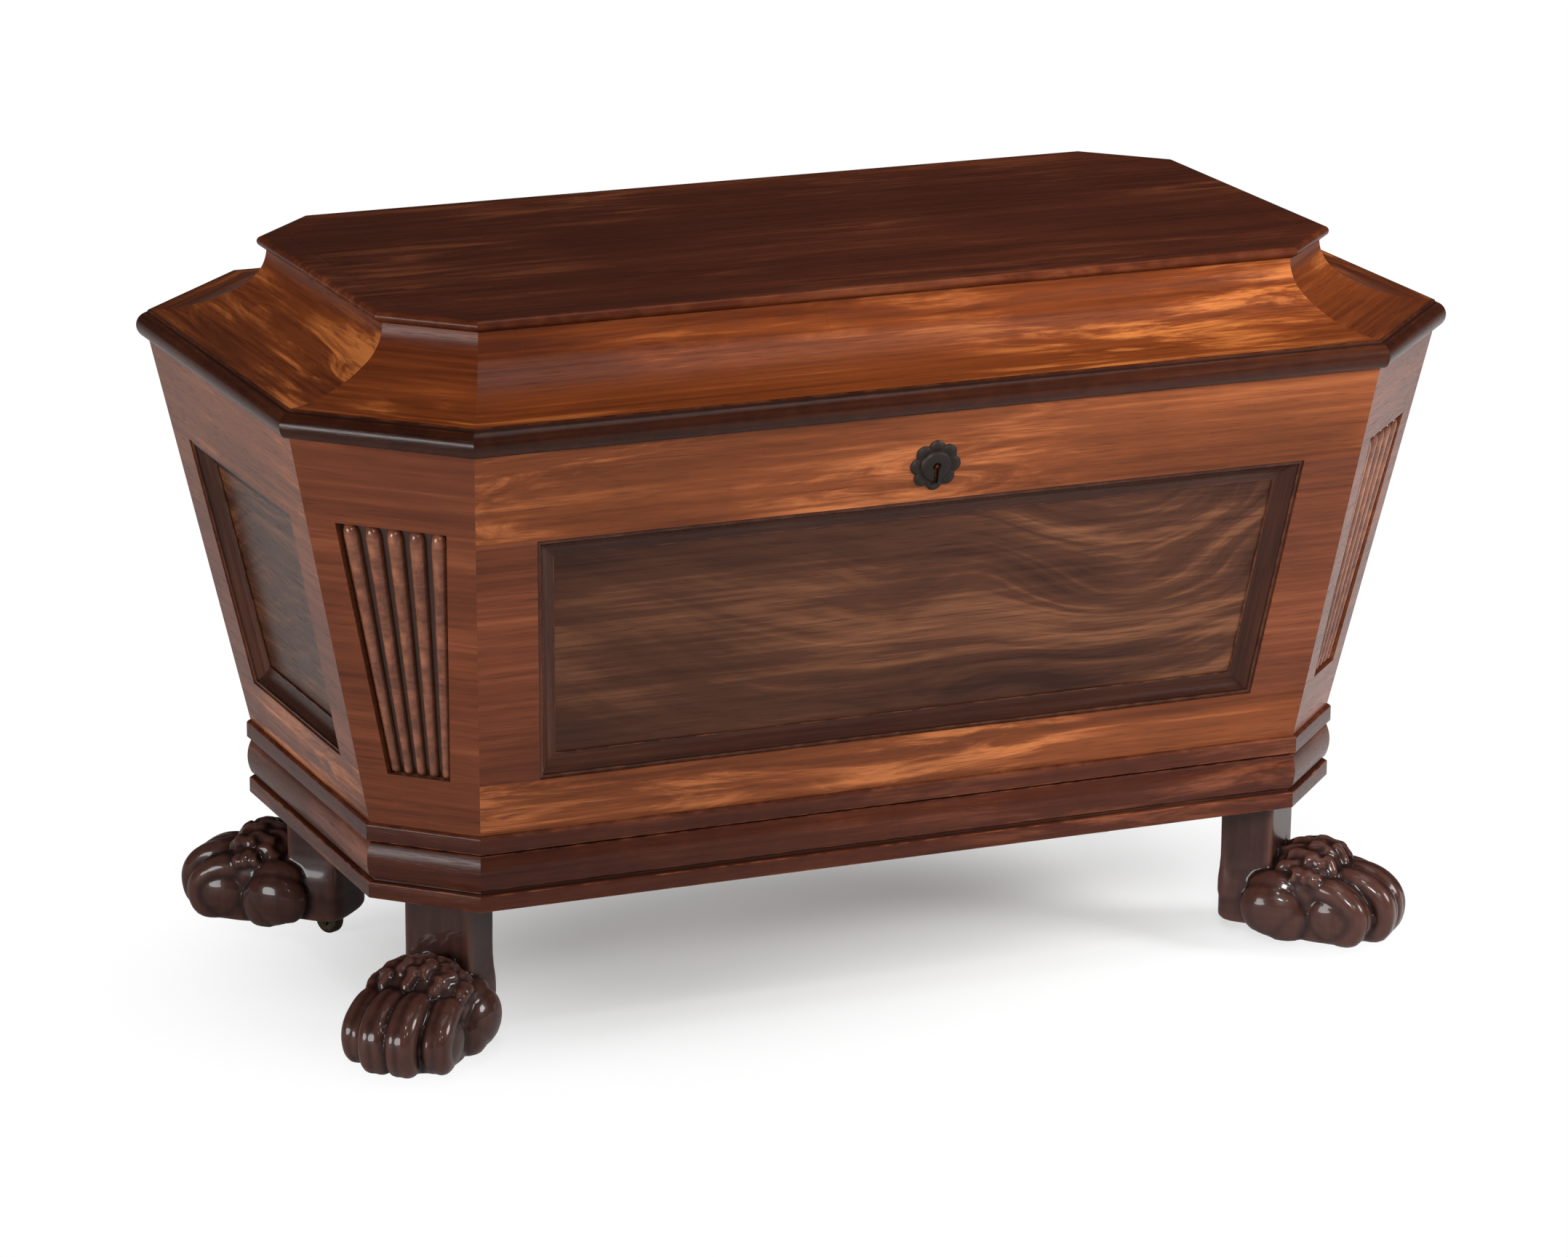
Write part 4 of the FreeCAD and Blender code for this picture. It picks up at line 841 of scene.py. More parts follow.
@dataclass
class Piece:
    """A visible piece on its way from arrays to an object.

    The marks are values for each point that its finish reads. The stations say which ring of the
    piece each point lies on, if its rings are to be hard edges.
    """

    name: str
    points: Array
    quads: Array
    uv: Array | None = None
    marks: dict[str, Array] = field(default_factory=dict)
    stations: Array | None = None
    smooth_limit: float = 32.0

    def stand_in(self, node: str, body: str, slot: str, material: bpy.types.Material) -> None:
        """Makes the object, and puts it on its body and in place of its node.

        Args:
            node: The node that it stands for.
            body: The body that carries it.
            slot: The material slot; not used.
            material: What it is finished with.
        """
        made = self._object(material)
        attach(made, body)
        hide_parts(node)
        LOG.info("%s: %d faces", made.name, len(made.data.polygons))

    def _object(self, material: bpy.types.Material) -> bpy.types.Object:
        """Makes the object, with its faces pointing outwards.

        Args:
            material: What it is finished with.

        Returns:
            The object.
        """
        quads = self.quads if signed_volume(self.points, self.quads) > 0 else self.quads[:, ::-1]
        uv = self.uv
        if uv is not None and quads is not self.quads:
            uv = uv[:, ::-1]
        mesh = bpy.data.meshes.new(self.name)
        mesh.from_pydata(self.points.tolist(), [], quads.tolist())
        if uv is not None:
            layer = mesh.uv_layers.new(name="grain")
            layer.data.foreach_set("uv", np.ascontiguousarray(uv, np.float32).ravel())
        for mark, amounts in self.marks.items():
            attribute = mesh.attributes.new(mark, "FLOAT", "POINT")
            attribute.data.foreach_set("value", np.ascontiguousarray(amounts, np.float32))
        mesh.shade_smooth()
        mesh.set_sharp_from_angle(angle=math.radians(self.smooth_limit))
        if self.stations is not None:
            self._harden(mesh)
        mesh.materials.append(material)
        return added(self.name, mesh)

    def _harden(self, mesh: bpy.types.Mesh) -> None:
        """Keeps the edges between points of one station hard, such as those on a mitre.

        Args:
            mesh: The piece's mesh, with its sharp edges marked by their angle.
        """
        station = self.stations[rows_of(mesh.edges, "vertices", 2, np.int32)]
        marked = mesh.attributes["sharp_edge"].data
        sharp = rows_of(marked, "value", 1, bool).ravel()
        sharp |= station[:, 0] == station[:, 1]
        marked.foreach_set("value", sharp)


def ring_piece(name: str, stations: Array, profile: Array) -> Piece:
    """A closed ring through stations that each hold the same number of profile points.

    Point (k, m) is joined to (k + 1, m) and (k, m + 1). U is the way along the ring from the
    middle of each length and V the way round the profile, both in metres.

    Args:
        name: The piece's name.
        stations: Places, of shape (stations, points, 3).
        profile: The profile in its own plane, of shape (points, 2), for V and the marks.

    Returns:
        The piece.
    """
    count, size = stations.shape[:2]
    k, m = np.meshgrid(np.arange(count), np.arange(size), indexing="ij")
    k_next, m_next = (k + 1) % count, (m + 1) % size
    quads = columns(k * size + m, k_next * size + m, k_next * size + m_next,
                    k * size + m_next).reshape(-1, 4)
    girth = np.concatenate([[0.0], np.cumsum(np.linalg.norm(
        np.roll(profile, -1, axis=0) - profile, axis=1))])
    way = np.roll(stations, -1, axis=0) - stations
    run = way.mean(axis=1)
    run /= np.maximum(np.linalg.norm(run, axis=1, keepdims=True), 1e-9)
    middle = (stations + np.roll(stations, -1, axis=0)).mean(axis=1) / 2
    here = ((stations - middle[:, None]) * run[:, None]).sum(-1)
    there = ((np.roll(stations, -1, axis=0) - middle[:, None]) * run[:, None]).sum(-1)
    offset = (np.arange(count) * 0.37)[:, None]
    low, high = girth[:-1], girth[1:]
    corners = [(here + offset, low), (there + offset, low),
               (np.roll(there, -1, axis=1) + offset, high),
               (np.roll(here, -1, axis=1) + offset, high)]
    uv = np.stack([columns(*corner) for corner in corners], axis=2).reshape(-1, 4, 2)
    ridge, hollow = profile_marks(profile)
    marks = {"ridge": np.tile(ridge, count), "hollow": np.tile(hollow, count)}
    return Piece(name, stations.reshape(-1, 3), quads, uv, marks, k.ravel())


def octagon_ring(name: str, profile: Array) -> Piece:
    """A moulding round the whole outline, from a profile of depths and heights."""
    plan = OUTLINE.corners(profile[:, 0])
    return ring_piece(name, columns(plan[..., 0], plan[..., 1], profile[:, 1]), profile)


def tube(rings: Array) -> Skin:
    """A closed skin through rings of points.

    Each end is drawn in to a tiny ring about its middle, which a strip of quads closes, so that
    every face is a quad.

    Args:
        rings: Places, of shape (rings, points, 3).

    Returns:
        The points and the quads.
    """
    tiny = 1e-3
    first, last = (end.mean(axis=0) + (end - end.mean(axis=0)) * tiny
                   for end in (rings[0], rings[-1]))
    rings = np.concatenate([first[None], rings, last[None]])
    count, size = rings.shape[:2]
    k, m = np.meshgrid(np.arange(count - 1), np.arange(size), indexing="ij")
    m_next = (m + 1) % size
    sides = columns(k * size + m, (k + 1) * size + m, (k + 1) * size + m_next,
                    k * size + m_next).reshape(-1, 4)
    m = np.arange(size // 2 - 1)
    start = columns(m, m + 1, size - 2 - m, size - 1 - m)
    end = start + (count - 1) * size
    return rings.reshape(-1, 3), np.concatenate([sides, start, end[:, ::-1]])


def joined(parts: Iterable[Skin]) -> Skin:
    """Several skins in one, each with its faces pointing outwards.

    Args:
        parts: Points and quads of each.

    Returns:
        The points and quads of all.
    """
    points, quads, start = [], [], 0
    for some, faces in parts:
        if signed_volume(some, faces) < 0:
            faces = faces[:, ::-1]
        points.append(some)
        quads.append(faces + start)
        start += len(some)
    return np.concatenate(points), np.concatenate(quads)


def dress(node: str, material: bpy.types.Material) -> None:
    """Gives a node of the frame its finish.

    Args:
        node: The node.
        material: What it is finished with.
    """
    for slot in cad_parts[node].material_slots:
        slot.material = material
    LOG.info("%s: %s", node, material.name)


# ------------------------------------------------------------------------------------ the parts

@dataclass
class Case:
    """The leaning case: rails, stiles, panels, mouldings, corner boards and reeding.

    Half a reed's width and the lengths of its two domed ends are shares of its room.
    """

    finishes: Finishes
    opening_top: float = 0.354
    opening_bottom: float = 0.189
    long_stile: float = 0.04
    short_stile: float = 0.035
    panel_sink: float = 0.011
    moulding_width: float = 0.0145
    moulding_sink: float = 0.001
    moulding_radius: float = 0.0165
    reed_low: float = 0.19
    reed_high: float = 0.36
    reed_low_width: float = 0.043
    reed_high_width: float = 0.075
    reed_end_gap: float = 0.0006
    reed_floor: float = 0.0064
    reed_rise: float = 0.0062
    reed_half: float = 0.37
    reed_high_dome: float = 0.62
    reed_low_dome: float = 0.3
    reeds: int = 5

    def build(self) -> None:
        """Dresses the boards and makes the mouldings and the reeding."""
        for side in PANELLED:
            self._dress_side(side)
            self._panel_moulding(side)
        for side in CANTED:
            board = self._wood("crossband", CROSSBAND, side, Figure.CROSSBANDED)
            dress(side.name + "_corner_board", board)
            self._reeding(side)

    def _wood(self, word: str, tones: Tones, side: Side, figure: Figure) -> bpy.types.Material:
        """A veneer with its grain level along a side.

        Args:
            word: What the veneer is for.
            tones: Its colours.
            side: The side.
            figure: How it is figured.

        Returns:
            The material.
        """
        turn = side.grain_turn
        return self.finishes.get(Mahogany(f"{word}_mahogany_{turn:.0f}", tones, figure, turn))

    def _dress_side(self, side: Side) -> None:
        """Gives the boards of a panelled side their veneers.

        Args:
            side: The side.
        """
        rails = self._wood("rail", RAIL, side, Figure.RIBBON)
        for board in ("top_rail", "bottom_rail"):
            dress(f"{side.name}_{board}", rails)
        dress(side.name + "_stiles", self._wood("crossband", CROSSBAND, side, Figure.CROSSBANDED))
        dress(side.name + "_panel", self._wood("panel", PANEL, side, Figure.FLAME))

    def _panel_moulding(self, side: Side) -> None:
        """The mitred moulding inside a side's opening.

        The profile's points are an inset from the opening's edge and a depth behind the face. At
        each corner the inset moves a point along X and Z, and the depth moves it inwards.

        Args:
            side: The side.
        """
        width, sink, floor = self.moulding_width, self.moulding_sink, self.panel_sink
        foot = (width - 0.0016, floor - 0.0016)
        hollow = arc((0.0026, sink + 0.0016), foot, self.moulding_radius, -1, 10)
        corners = [(0.0, sink), (0.0026, sink), *hollow, foot, (width, floor - 0.0014),
                   (width, floor), (0.0, floor)]
        profile = rounded(corners, 0.0005, 2)
        stile = self.long_stile if side.grain_turn == 0.0 else self.short_stile
        inset, depth = profile[:, 0], profile[:, 1]
        stations = []
        for hand, up in ((-1, -1), (1, -1), (1, 1), (-1, 1)):
            edge = self.opening_top if up > 0 else self.opening_bottom
            height = edge - up * inset
            face = OUTLINE.lean_at(height)
            half = side.half_length - face * MITRE - stile - inset
            stations.append(side.placed(columns(hand * half, face + depth, height)))
        piece = ring_piece(side.name + "_panel_frame", np.array(stations), profile)
        finish = Mahogany("moulding_mahogany", MOULDING, from_uv=True, wear_and_painted_light=True)
        piece.stand_in(side.name + "_panel_moulding", "case", "moulding_mahogany",
                       self.finishes.get(finish))

    def _reeding(self, side: Side) -> None:
        """Tapering reeds over a thin plate, as one piece. The plate and the reeds' sides carry
        painted shade, and the crests a painted highlight.

        Args:
            side: The canted side.
        """
        reeds, rise = self._reed_skins(side)
        points, quads = joined([*reeds, self._shade_backing_plate(side)])
        shade_backing_base = np.zeros(len(points) - len(rise))
        # Painted highlight along the crests, and painted shade down the reeds' sides and over the
        # whole plate.
        marks = {"ridge": np.concatenate([rise ** 4 * 0.7, shade_backing_base]),
                 "hollow": np.concatenate([np.clip(1.0 - 1.7 * rise, 0.0, 1.0), shade_backing_base + 1.0])}
        turn = side.grain_turn
        finish = Mahogany(f"reed_mahogany_{turn:.0f}", REED, turn=turn, wear_and_painted_light=True, roughness=0.2,
                          polish=0.4)
        piece = Piece(side.name + "_reeds", points, quads, marks=marks, smooth_limit=50.0)
        piece.stand_in(side.name + "_corner_reeding", "case", "reed_mahogany",
                       self.finishes.get(finish))

    def _reed_skins(self, side: Side) -> tuple[list[Skin], Array]:
        """The reeds, side by side, with domed ends.

        Across a reed the outline is half an ellipse over a flat back. Along it the width and the
        rise follow straight lines, and near each end they shrink as a circle does.

        Args:
            side: The canted side.

        Returns:
            A skin for each reed, and each point's height as a share of the reed's rise.
        """
        share = np.concatenate([np.linspace(0.0, 0.06, 8), np.linspace(0.09, 0.88, 16),
                                np.linspace(0.905, 1.0, 12)])
        length = self.reed_high - self.reed_low - 2 * self.reed_end_gap
        width = self.reed_low_width + (self.reed_high_width - self.reed_low_width) * share
        room = width / self.reeds
        height = self.reed_low + self.reed_end_gap + share * length
        from_end = np.minimum((self.reed_high - height) / (room * self.reed_high_dome),
                              (height - self.reed_low) / (room * self.reed_low_dome))
        dome = np.sqrt(np.clip(1.0 - np.clip(1.0 - from_end, 0.0, 1.0) ** 2, 0.0025, 1.0))
        angle = np.linspace(0.0, math.pi, 14)
        across = np.concatenate([-np.cos(angle), np.linspace(0.7, -0.7, 6)])
        rise = np.concatenate([np.sin(angle) ** 0.9, np.full(6, -0.04)])
        reach = (room * self.reed_half * (0.25 + 0.75 * dome))[:, None]
        out = rise[None] * (self.reed_rise * dome * (0.72 + 0.28 * share))[:, None]
        height = height[:, None]
        depth = OUTLINE.lean_at(height) + self.reed_floor - out
        skins = []
        for number in range(self.reeds):
            middle = (number - (self.reeds - 1) / 2) * room
            x = middle[:, None] + across[None] * reach
            skins.append(tube(side.placed(columns(x, depth, height))))
        end_rings = 2
        return skins, np.tile(np.clip(rise, 0.0, 1.0), (len(height) + end_rings) * self.reeds)

    def _shade_backing_plate(self, side: Side) -> Skin:
        """The thin plate behind the reeds, as wide as all of them at each end, darkened in full as
        painted shade between them.

        Args:
            side: The canted side.

        Returns:
            The points and quads.
        """
        ends = np.array([[self.reed_low_width, self.reed_low],
                         [self.reed_high_width, self.reed_high]])
        x = ends[:, :1] / 2 * np.array([-1, 1, 1, -1])
        height = ends[:, 1:]
        front, back = -0.0004, 0.0002
        depth = OUTLINE.lean_at(height) + self.reed_floor + np.array([front, front, back, back])
        return tube(side.placed(columns(x, depth, height)))


@dataclass
class Plinth:
    """The moulded plinth under the case, with its bottom board and foot blocks."""

    finishes: Finishes
    underside: float = 0.104
    inner: float = 0.0872
    foot_height: float = 0.0105
    torus_radius: float = 0.027

    def build(self) -> None:
        """Makes the moulding, and dresses the hidden timber and the lead lining."""
        lean = OUTLINE.lean
        low, high = self.underside, OUTLINE.bottom
        lower_groove = low + self.foot_height
        torus_top = (lean + 0.0003, low + 0.0365)
        torus = arc((lean + 0.0003, lower_groove + 0.003), torus_top, self.torus_radius, -1)
        corners = [(self.inner, low), (lean - 0.0012, low), (lean - 0.0012, lower_groove),
                   (lean + 0.003, lower_groove + 0.0003), (lean + 0.003, lower_groove + 0.0027),
                   *torus, torus_top, (lean + 0.0019, low + 0.0367),
                   (lean + 0.0019, low + 0.038), (lean - 0.0024, low + 0.0382),
                   (lean - 0.0024, high - 0.0014), (lean - 0.001, high), (self.inner, high)]
        piece = octagon_ring("plinth_ring", rounded(corners, 0.0008))
        finish = Mahogany("plinth_mahogany", PLINTH, Figure.RIBBON, from_uv=True, wear_and_painted_light=True,
                          contrast=0.8)
        piece.stand_in("plinth_moulding", "case", "plinth_mahogany", self.finishes.get(finish))
        timber = self.finishes.get(PlainTimber("secondary_timber"))
        for node in ("bottom_board", "foot_blocks", "long_divisions", "cross_divisions"):
            dress(node, timber)
        dress("lead_lining", self.finishes.get(LEAD))


@dataclass
class Lid:
    """The lid: a frame with a round edge, a hollow-faced rise and a flat moulded top."""

    finishes: Finishes
    bottom: float = 0.41445
    rim_top: float = 0.432
    neck_top: float = 0.4735
    top: float = 0.481
    rim_depth: float = 0.062
    nose_radius: float = 0.0092
    neck: float = 0.0715
    cove_start: float = 0.0015
    cove_tight: float = 0.028
    stave: float = 0.02
    stave_height: float = 0.018
    lip_back: float = 0.0845
    lip_radius: float = 0.0034
    hinge_place: float = 0.2
    notch_half: float = 0.0354
    notch_slope: float = 0.0003
    notch_top: float = 0.4179

    def build(self) -> None:
        """Makes the lid's mouldings and dresses its top."""
        self._rim()
        self._cove()
        self._lip()
        finish = Mahogany("lid_top_mahogany", LID_TOP, Figure.RIBBON, roughness=0.26,
                          contrast=0.9)
        dress("lid_top_board", self.finishes.get(finish))

    def _rim(self) -> None:
        """The lid's frame, with room at the back for the hinges' knuckles.

        Along the back the ring has a pair of stations at each end of a notch: one with the full
        profile just outside it, and one whose points below the notch's top are pushed in to the
        case's back edge.
        """
        nose_top = (-0.0024, self.rim_top - 0.0022)
        nose = arc((-0.0035, self.bottom), nose_top, self.nose_radius, -1, 18)
        corners = [(self.rim_depth, self.bottom), *nose, nose_top,
                   (-0.0006, self.rim_top - 0.002), (0.0002, self.rim_top),
                   (self.rim_depth, self.rim_top)]
        profile = rounded(corners, 0.0005, 2)
        ring = octagon_ring("lid_frame", profile)
        corner_stations = ring.points.reshape(8, len(profile), 3)
        notched = profile.copy()
        notched[:, 0] = np.where(profile[:, 1] < self.notch_top, np.maximum(profile[:, 0], 0.0),
                                 profile[:, 0])
        back = []
        for x, outwards in ((self.hinge_place + self.notch_half, 1),
                            (self.hinge_place - self.notch_half, -1),
                            (-self.hinge_place + self.notch_half, 1),
                            (-self.hinge_place - self.notch_half, -1)):
            pair = [(x + outwards * self.notch_slope, profile), (x, notched)]
            for place, shape in pair[::outwards]:
                back.append(columns(place, OUTLINE.half_depth - shape[:, 0], shape[:, 1]))
        stations = np.concatenate([corner_stations[:4], np.array(back), corner_stations[4:]])
        piece = ring_piece("lid_frame", stations, profile)
        finish = Mahogany("rim_mahogany", RIM, from_uv=True, wear_and_painted_light=True, polish=0.06)
        piece.stand_in("lid_rim", "lid", "lid_moulding_mahogany", self.finishes.get(finish))

    def _cove(self) -> None:
        """The hollow rise from the frame to the neck.

        Two arcs meet without a corner: a wide one that leaves the frame level and a tight one
        that ends upright at the neck.
        """
        start, tight = self.cove_start, self.cove_tight
        width, height = self.neck - start, self.neck_top - self.rim_top
        wide = ((width - tight) ** 2 + height ** 2 - tight ** 2) / (2 * (height - tight))
        share = wide / (wide - tight)
        joint = (start + share * (width - tight), self.rim_top + share * (height - tight))
        back = self.neck + self.stave
        corners = [*arc((start, self.rim_top), joint, wide, 1, 16),
                   *arc(joint, (self.neck, self.neck_top), tight, 1, 16),
                   (self.neck, self.neck_top), (back, self.neck_top),
                   (back, self.neck_top - self.stave_height), (self.rim_depth, self.rim_top)]
        piece = octagon_ring("lid_rise", np.array(corners))
        finish = Mahogany("cove_mahogany", COVE, Figure.RIBBON, from_uv=True, roughness=0.28,
                          contrast=1.15)
        piece.stand_in("lid_cove", "lid", "cove_mahogany", self.finishes.get(finish))

    def _lip(self) -> None:
        """The top's moulded edge: a shallow step under a round nose."""
        inset = self.neck - 0.004
        nose_top = (inset, self.top - 0.0004)
        nose = arc((inset - 0.0002, self.neck_top + 0.0013), nose_top, self.lip_radius, -1, 12)
        corners = [(self.lip_back, self.neck_top), (inset + 0.0018, self.neck_top),
                   (inset + 0.001, self.neck_top + 0.0012), *nose, nose_top,
                   (inset + 0.0012, self.top), (self.lip_back, self.top)]
        piece = octagon_ring("lid_edge", rounded(corners, 0.0004, 2))
        finish = Mahogany("lid_edge_mahogany", LID_TOP, Figure.RIBBON, wear_and_painted_light=True, contrast=0.9)
        piece.stand_in("lid_top_moulding", "lid", "lid_moulding_mahogany",
                       self.finishes.get(finish))


@dataclass
class PawFoot:
    """A carved lion's paw under a square leg, hollow under its heel for the castor.

    It is put together from closed skins in a side's frame, with X across the foot and the depth
    inwards. The skins are melted into one by a voxel remesh and eased. The ridge and hollow steps
    are the bends, as _measured finds them, that count in full.
    """

    finishes: Finishes
    leg_top: float = 0.104
    leg_half: float = 0.023
    leg_front: float = 0.0742
    leg_back: float = 0.1102
    sole: float = 0.009
    heel_underside: float = 0.014
    recess_depth: float = 0.0872
    recess_radius: float = 0.0206
    recess_top: float = 0.0262
    instep_middle: float = 0.047
    instep_front: float = 0.0205
    instep_back: float = 0.03
    instep_height: float = 0.042
    instep_rise: float = 0.028
    instep_half: float = 0.0335
    toes: int = 4
    toe_spread: float = 0.0178
    toe_setback: float = 0.0135
    toe_drop: float = 0.0035
    toe_squash: float = 0.88
    lobe_half: float = 0.0026
    heel_start: float = 0.08
    heel_middle: float = 0.086
    heel_half_depth: float = 0.0266
    voxel: float = 0.0012
    ridge_step: float = 6e-5
    hollow_step: float = 7e-5

    def build(self) -> None:
        """Makes the four feet from one carved shape."""
        points, quads, ridge, hollow = self._carved()
        material = self.finishes.get(CarvedMahogany("carved_mahogany"))
        for side in CANTED:
            piece = Piece(side.name + "_paw", side.placed(points), quads,
                          marks={"ridge": ridge, "hollow": hollow}, smooth_limit=180.0)
            piece.stand_in(side.name + "_paw_foot", "case", "carved_mahogany", material)

    def _carved(self) -> tuple[Array, Array, Array, Array]:
        """Melts the skins into one, flattens the sole and measures ridges and hollows.

        Returns:
            The points, the quads, and how far each point is a ridge or in a hollow.
        """
        points, quads = joined([self._leg(), self._heel(), self._palm(), self._instep(),
                                *self._toes(), *self._pads(), *self._curls()])
        mesh = bpy.data.meshes.new("paw_block")
        mesh.from_pydata(points.tolist(), [], quads.tolist())
        block = added("paw_block", mesh)
        melt = block.modifiers.new("melt", "REMESH")
        melt.mode = "VOXEL"
        melt.voxel_size = self.voxel
        ease = block.modifiers.new("ease", "SMOOTH")
        ease.factor = 0.5
        ease.iterations = 3
        bpy.context.view_layer.update()
        evaluated = block.evaluated_get(bpy.context.evaluated_depsgraph_get())
        carved = bpy.data.meshes.new_from_object(evaluated)
        bpy.data.objects.remove(block)
        points, quads, ridge, hollow = self._measured(carved)
        bpy.data.meshes.remove(carved)
        sole_end = self.recess_depth - self.recess_radius
        lowest = np.interp(points[:, 1], (sole_end, self.heel_start),
                           (self.sole, self.heel_underside))
        points[:, 2] = np.maximum(points[:, 2], lowest)
        return points, quads, ridge, hollow

    def _measured(self, mesh: bpy.types.Mesh) -> tuple[Array, Array, Array, Array]:
        """Reads a mesh and finds its ridges and hollows.

        The mean step from a point to its neighbours, measured along the normal, is negative on a
        ridge. It is averaged over neighbours a few times and scaled.

        Args:
            mesh: A mesh of quads.

        Returns:
            The points, the quads, and the ridge and hollow values.
        """
        points = rows_of(mesh.vertices, "co", 3, np.float32)
        normals = rows_of(mesh.vertex_normals, "vector", 3, np.float32)
        ends = rows_of(mesh.edges, "vertices", 2, np.int32)
        quads = rows_of(mesh.loops, "vertex_index", 1, np.int32).reshape(-1, 4)
        count = len(points)
        edge = points[ends[:, 1]] - points[ends[:, 0]]
        valence = np.bincount(ends.ravel(), minlength=count)
        bend = sum(np.bincount(ends[:, end], (away * normals[ends[:, end]]).sum(1), count)
                   for end, away in enumerate((edge, -edge))) / valence
        for _ in range(6):
            near = sum(np.bincount(ends[:, end], bend[ends[:, 1 - end]], count) for end in (0, 1))
            bend = 0.5 * bend + 0.5 * near / valence
        return (points.astype(float), quads, np.clip(-bend / self.ridge_step, 0.0, 1.0),
                np.clip(bend / self.hollow_step, 0.0, 1.0))

    @staticmethod
    def _stack(levels: Sequence[tuple[float, ...]], steps: int = 8) -> Skin:
        """A skin through level rounded rectangles.

        A section is a superellipse with its power rising from 2 for an oval towards a rectangle,
        between the front and back depths. Sizes run smoothly from level to level.

        Args:
            levels: Height, half width, front depth, back depth and power, from the bottom up.
            steps: Sections between two levels.

        Returns:
            The points and quads.
        """
        table = np.asarray(levels, float)
        knots = np.arange(len(table))
        way = np.linspace(0.0, len(table) - 1.0, steps * (len(table) - 1) + 1)
        height, half, front, back, power = (np.interp(way, knots, column) for column in table.T)
        angle = np.linspace(0.0, 2 * math.pi, 64, endpoint=False)
        cosine, sine = np.cos(angle)[None], np.sin(angle)[None]
        bulk = (2.0 / power)[:, None]
        x = bulged(cosine, bulk) * half[:, None]
        y = ((front + back) / 2)[:, None] + bulged(sine, bulk) * ((back - front) / 2)[:, None]
        return tube(columns(x, y, height[:, None]))

    def _leg(self) -> Skin:
        """The square leg, which swells a little into the heel.

        Returns:
            The points and quads.
        """
        half, front, back = self.leg_half, self.leg_front, self.leg_back
        return self._stack([
            (self.recess_top, half + 0.003, front - 0.012, back + 0.0014, 5.0),
            (0.034, half + 0.0038, front - 0.012, back + 0.0026, 6.0),
            (0.043, half + 0.003, front - 0.009, back + 0.0022, 7.0),
            (0.051, half + 0.0014, front - 0.002, back + 0.001, 9.0),
            (0.058, half + 0.0004, front, back + 0.0002, 14.0),
            (0.066, half, front, back, 20.0), (self.leg_top, half, front, back, 26.0)])

    def _heel(self) -> Skin:
        """The wall of the heel round the castor's recess.

        Inside it is a circle about the swivel axis and outside a superellipse about the heel's
        middle. The same angle runs round both, and six points close the wall's section.

        Returns:
            The points and quads.
        """
        angle = np.linspace(0.0, 2 * math.pi, 72, endpoint=False)
        cosine, sine = np.cos(angle), np.sin(angle)
        inner = columns(self.recess_radius * cosine,
                        self.recess_depth + self.recess_radius * sine)
        outer = columns(bulged(cosine, 0.4) * (self.leg_half + 0.0034),
                        self.heel_middle + bulged(sine, 0.4) * self.heel_half_depth)
        low, high = self.heel_underside, self.recess_top + 0.01
        section = [(inner, low + 0.001), (inner * 0.85 + outer * 0.15, low),
                   (inner * 0.25 + outer * 0.75, low), (outer, low + 0.003), (outer, high),
                   (inner, high)]
        rings = np.stack([columns(plan[:, 0], plan[:, 1], height) for plan, height in section],
                         axis=1)
        wall = ring_piece("heel", rings, rings[0][:, 1:])
        return wall.points, wall.quads

    def _palm(self) -> Skin:
        """The mass behind the toes, flat on its sole.

        Returns:
            The points and quads.
        """
        before_recess = self.recess_depth - self.recess_radius - 0.0012
        return self._stack([
            (self.sole, 0.03, 0.01, before_recess - 0.001, 2.6),
            (0.0112, 0.0325, 0.007, before_recess, 2.6),
            (0.018, 0.0335, 0.004, before_recess, 2.5),
            (0.026, 0.0335, 0.002, before_recess, 2.4), (0.036, 0.0325, 0.004, 0.074, 2.4),
            (0.045, 0.029, 0.012, 0.078, 2.4), (0.053, 0.024, 0.026, 0.078, 2.3)])

    def _instep(self) -> Skin:
        """The round bulge over the instep, steep towards the toes and flat towards the leg.

        Returns:
            The points and quads.
        """
        turn = np.linspace(0.06, math.pi - 0.06, 40)
        path = columns(0.0, self._instep_depth(turn, 1.0), self.instep_height)
        return self._along(path, self.instep_rise * self._instep_swell(turn),
                           self.instep_half / self.instep_rise)

    def _instep_depth(self, turn: Array, share: "float | Array") -> Array:
        """The depth on the bulge at an angle from its front, and a share of its full reach."""
        reach = np.where(turn < math.pi / 2, self.instep_front, self.instep_back)
        return self.instep_middle - reach * share * np.cos(turn)

    @staticmethod
    def _instep_swell(turn: Array) -> Array:
        """The share of the bulge's full height at an angle from its front."""
        return np.where(turn < math.pi / 2, np.sin(turn) ** 0.9, np.sin(turn) ** 0.5)

    @staticmethod
    def _along(path: Array, radii: Array, squash: float = 1.0) -> Skin:
        """A round limb along a path.

        Each ring is a circle about a point of the path, square to the path's direction, and
        narrower across by the squash.

        Args:
            path: The path's points, of shape (n, 3), which keep near one upright plane.
            radii: The limb's radius at each.
            squash: The width of a ring over its height.

        Returns:
            The points and quads.
        """
        way = np.gradient(path, axis=0)
        way /= np.linalg.norm(way, axis=1, keepdims=True)
        flat = way.mean(axis=0) * (1.0, 1.0, 0.0)
        across = np.cross(flat / np.linalg.norm(flat), (0.0, 0.0, 1.0))
        over = np.cross(across, way)
        angle = np.linspace(0.0, 2 * math.pi, 20, endpoint=False)
        ring = (np.cos(angle)[None, :, None] * across[None, None] * squash
                + np.sin(angle)[None, :, None] * over[:, None])
        return tube(path[:, None] + ring * radii[:, None, None])

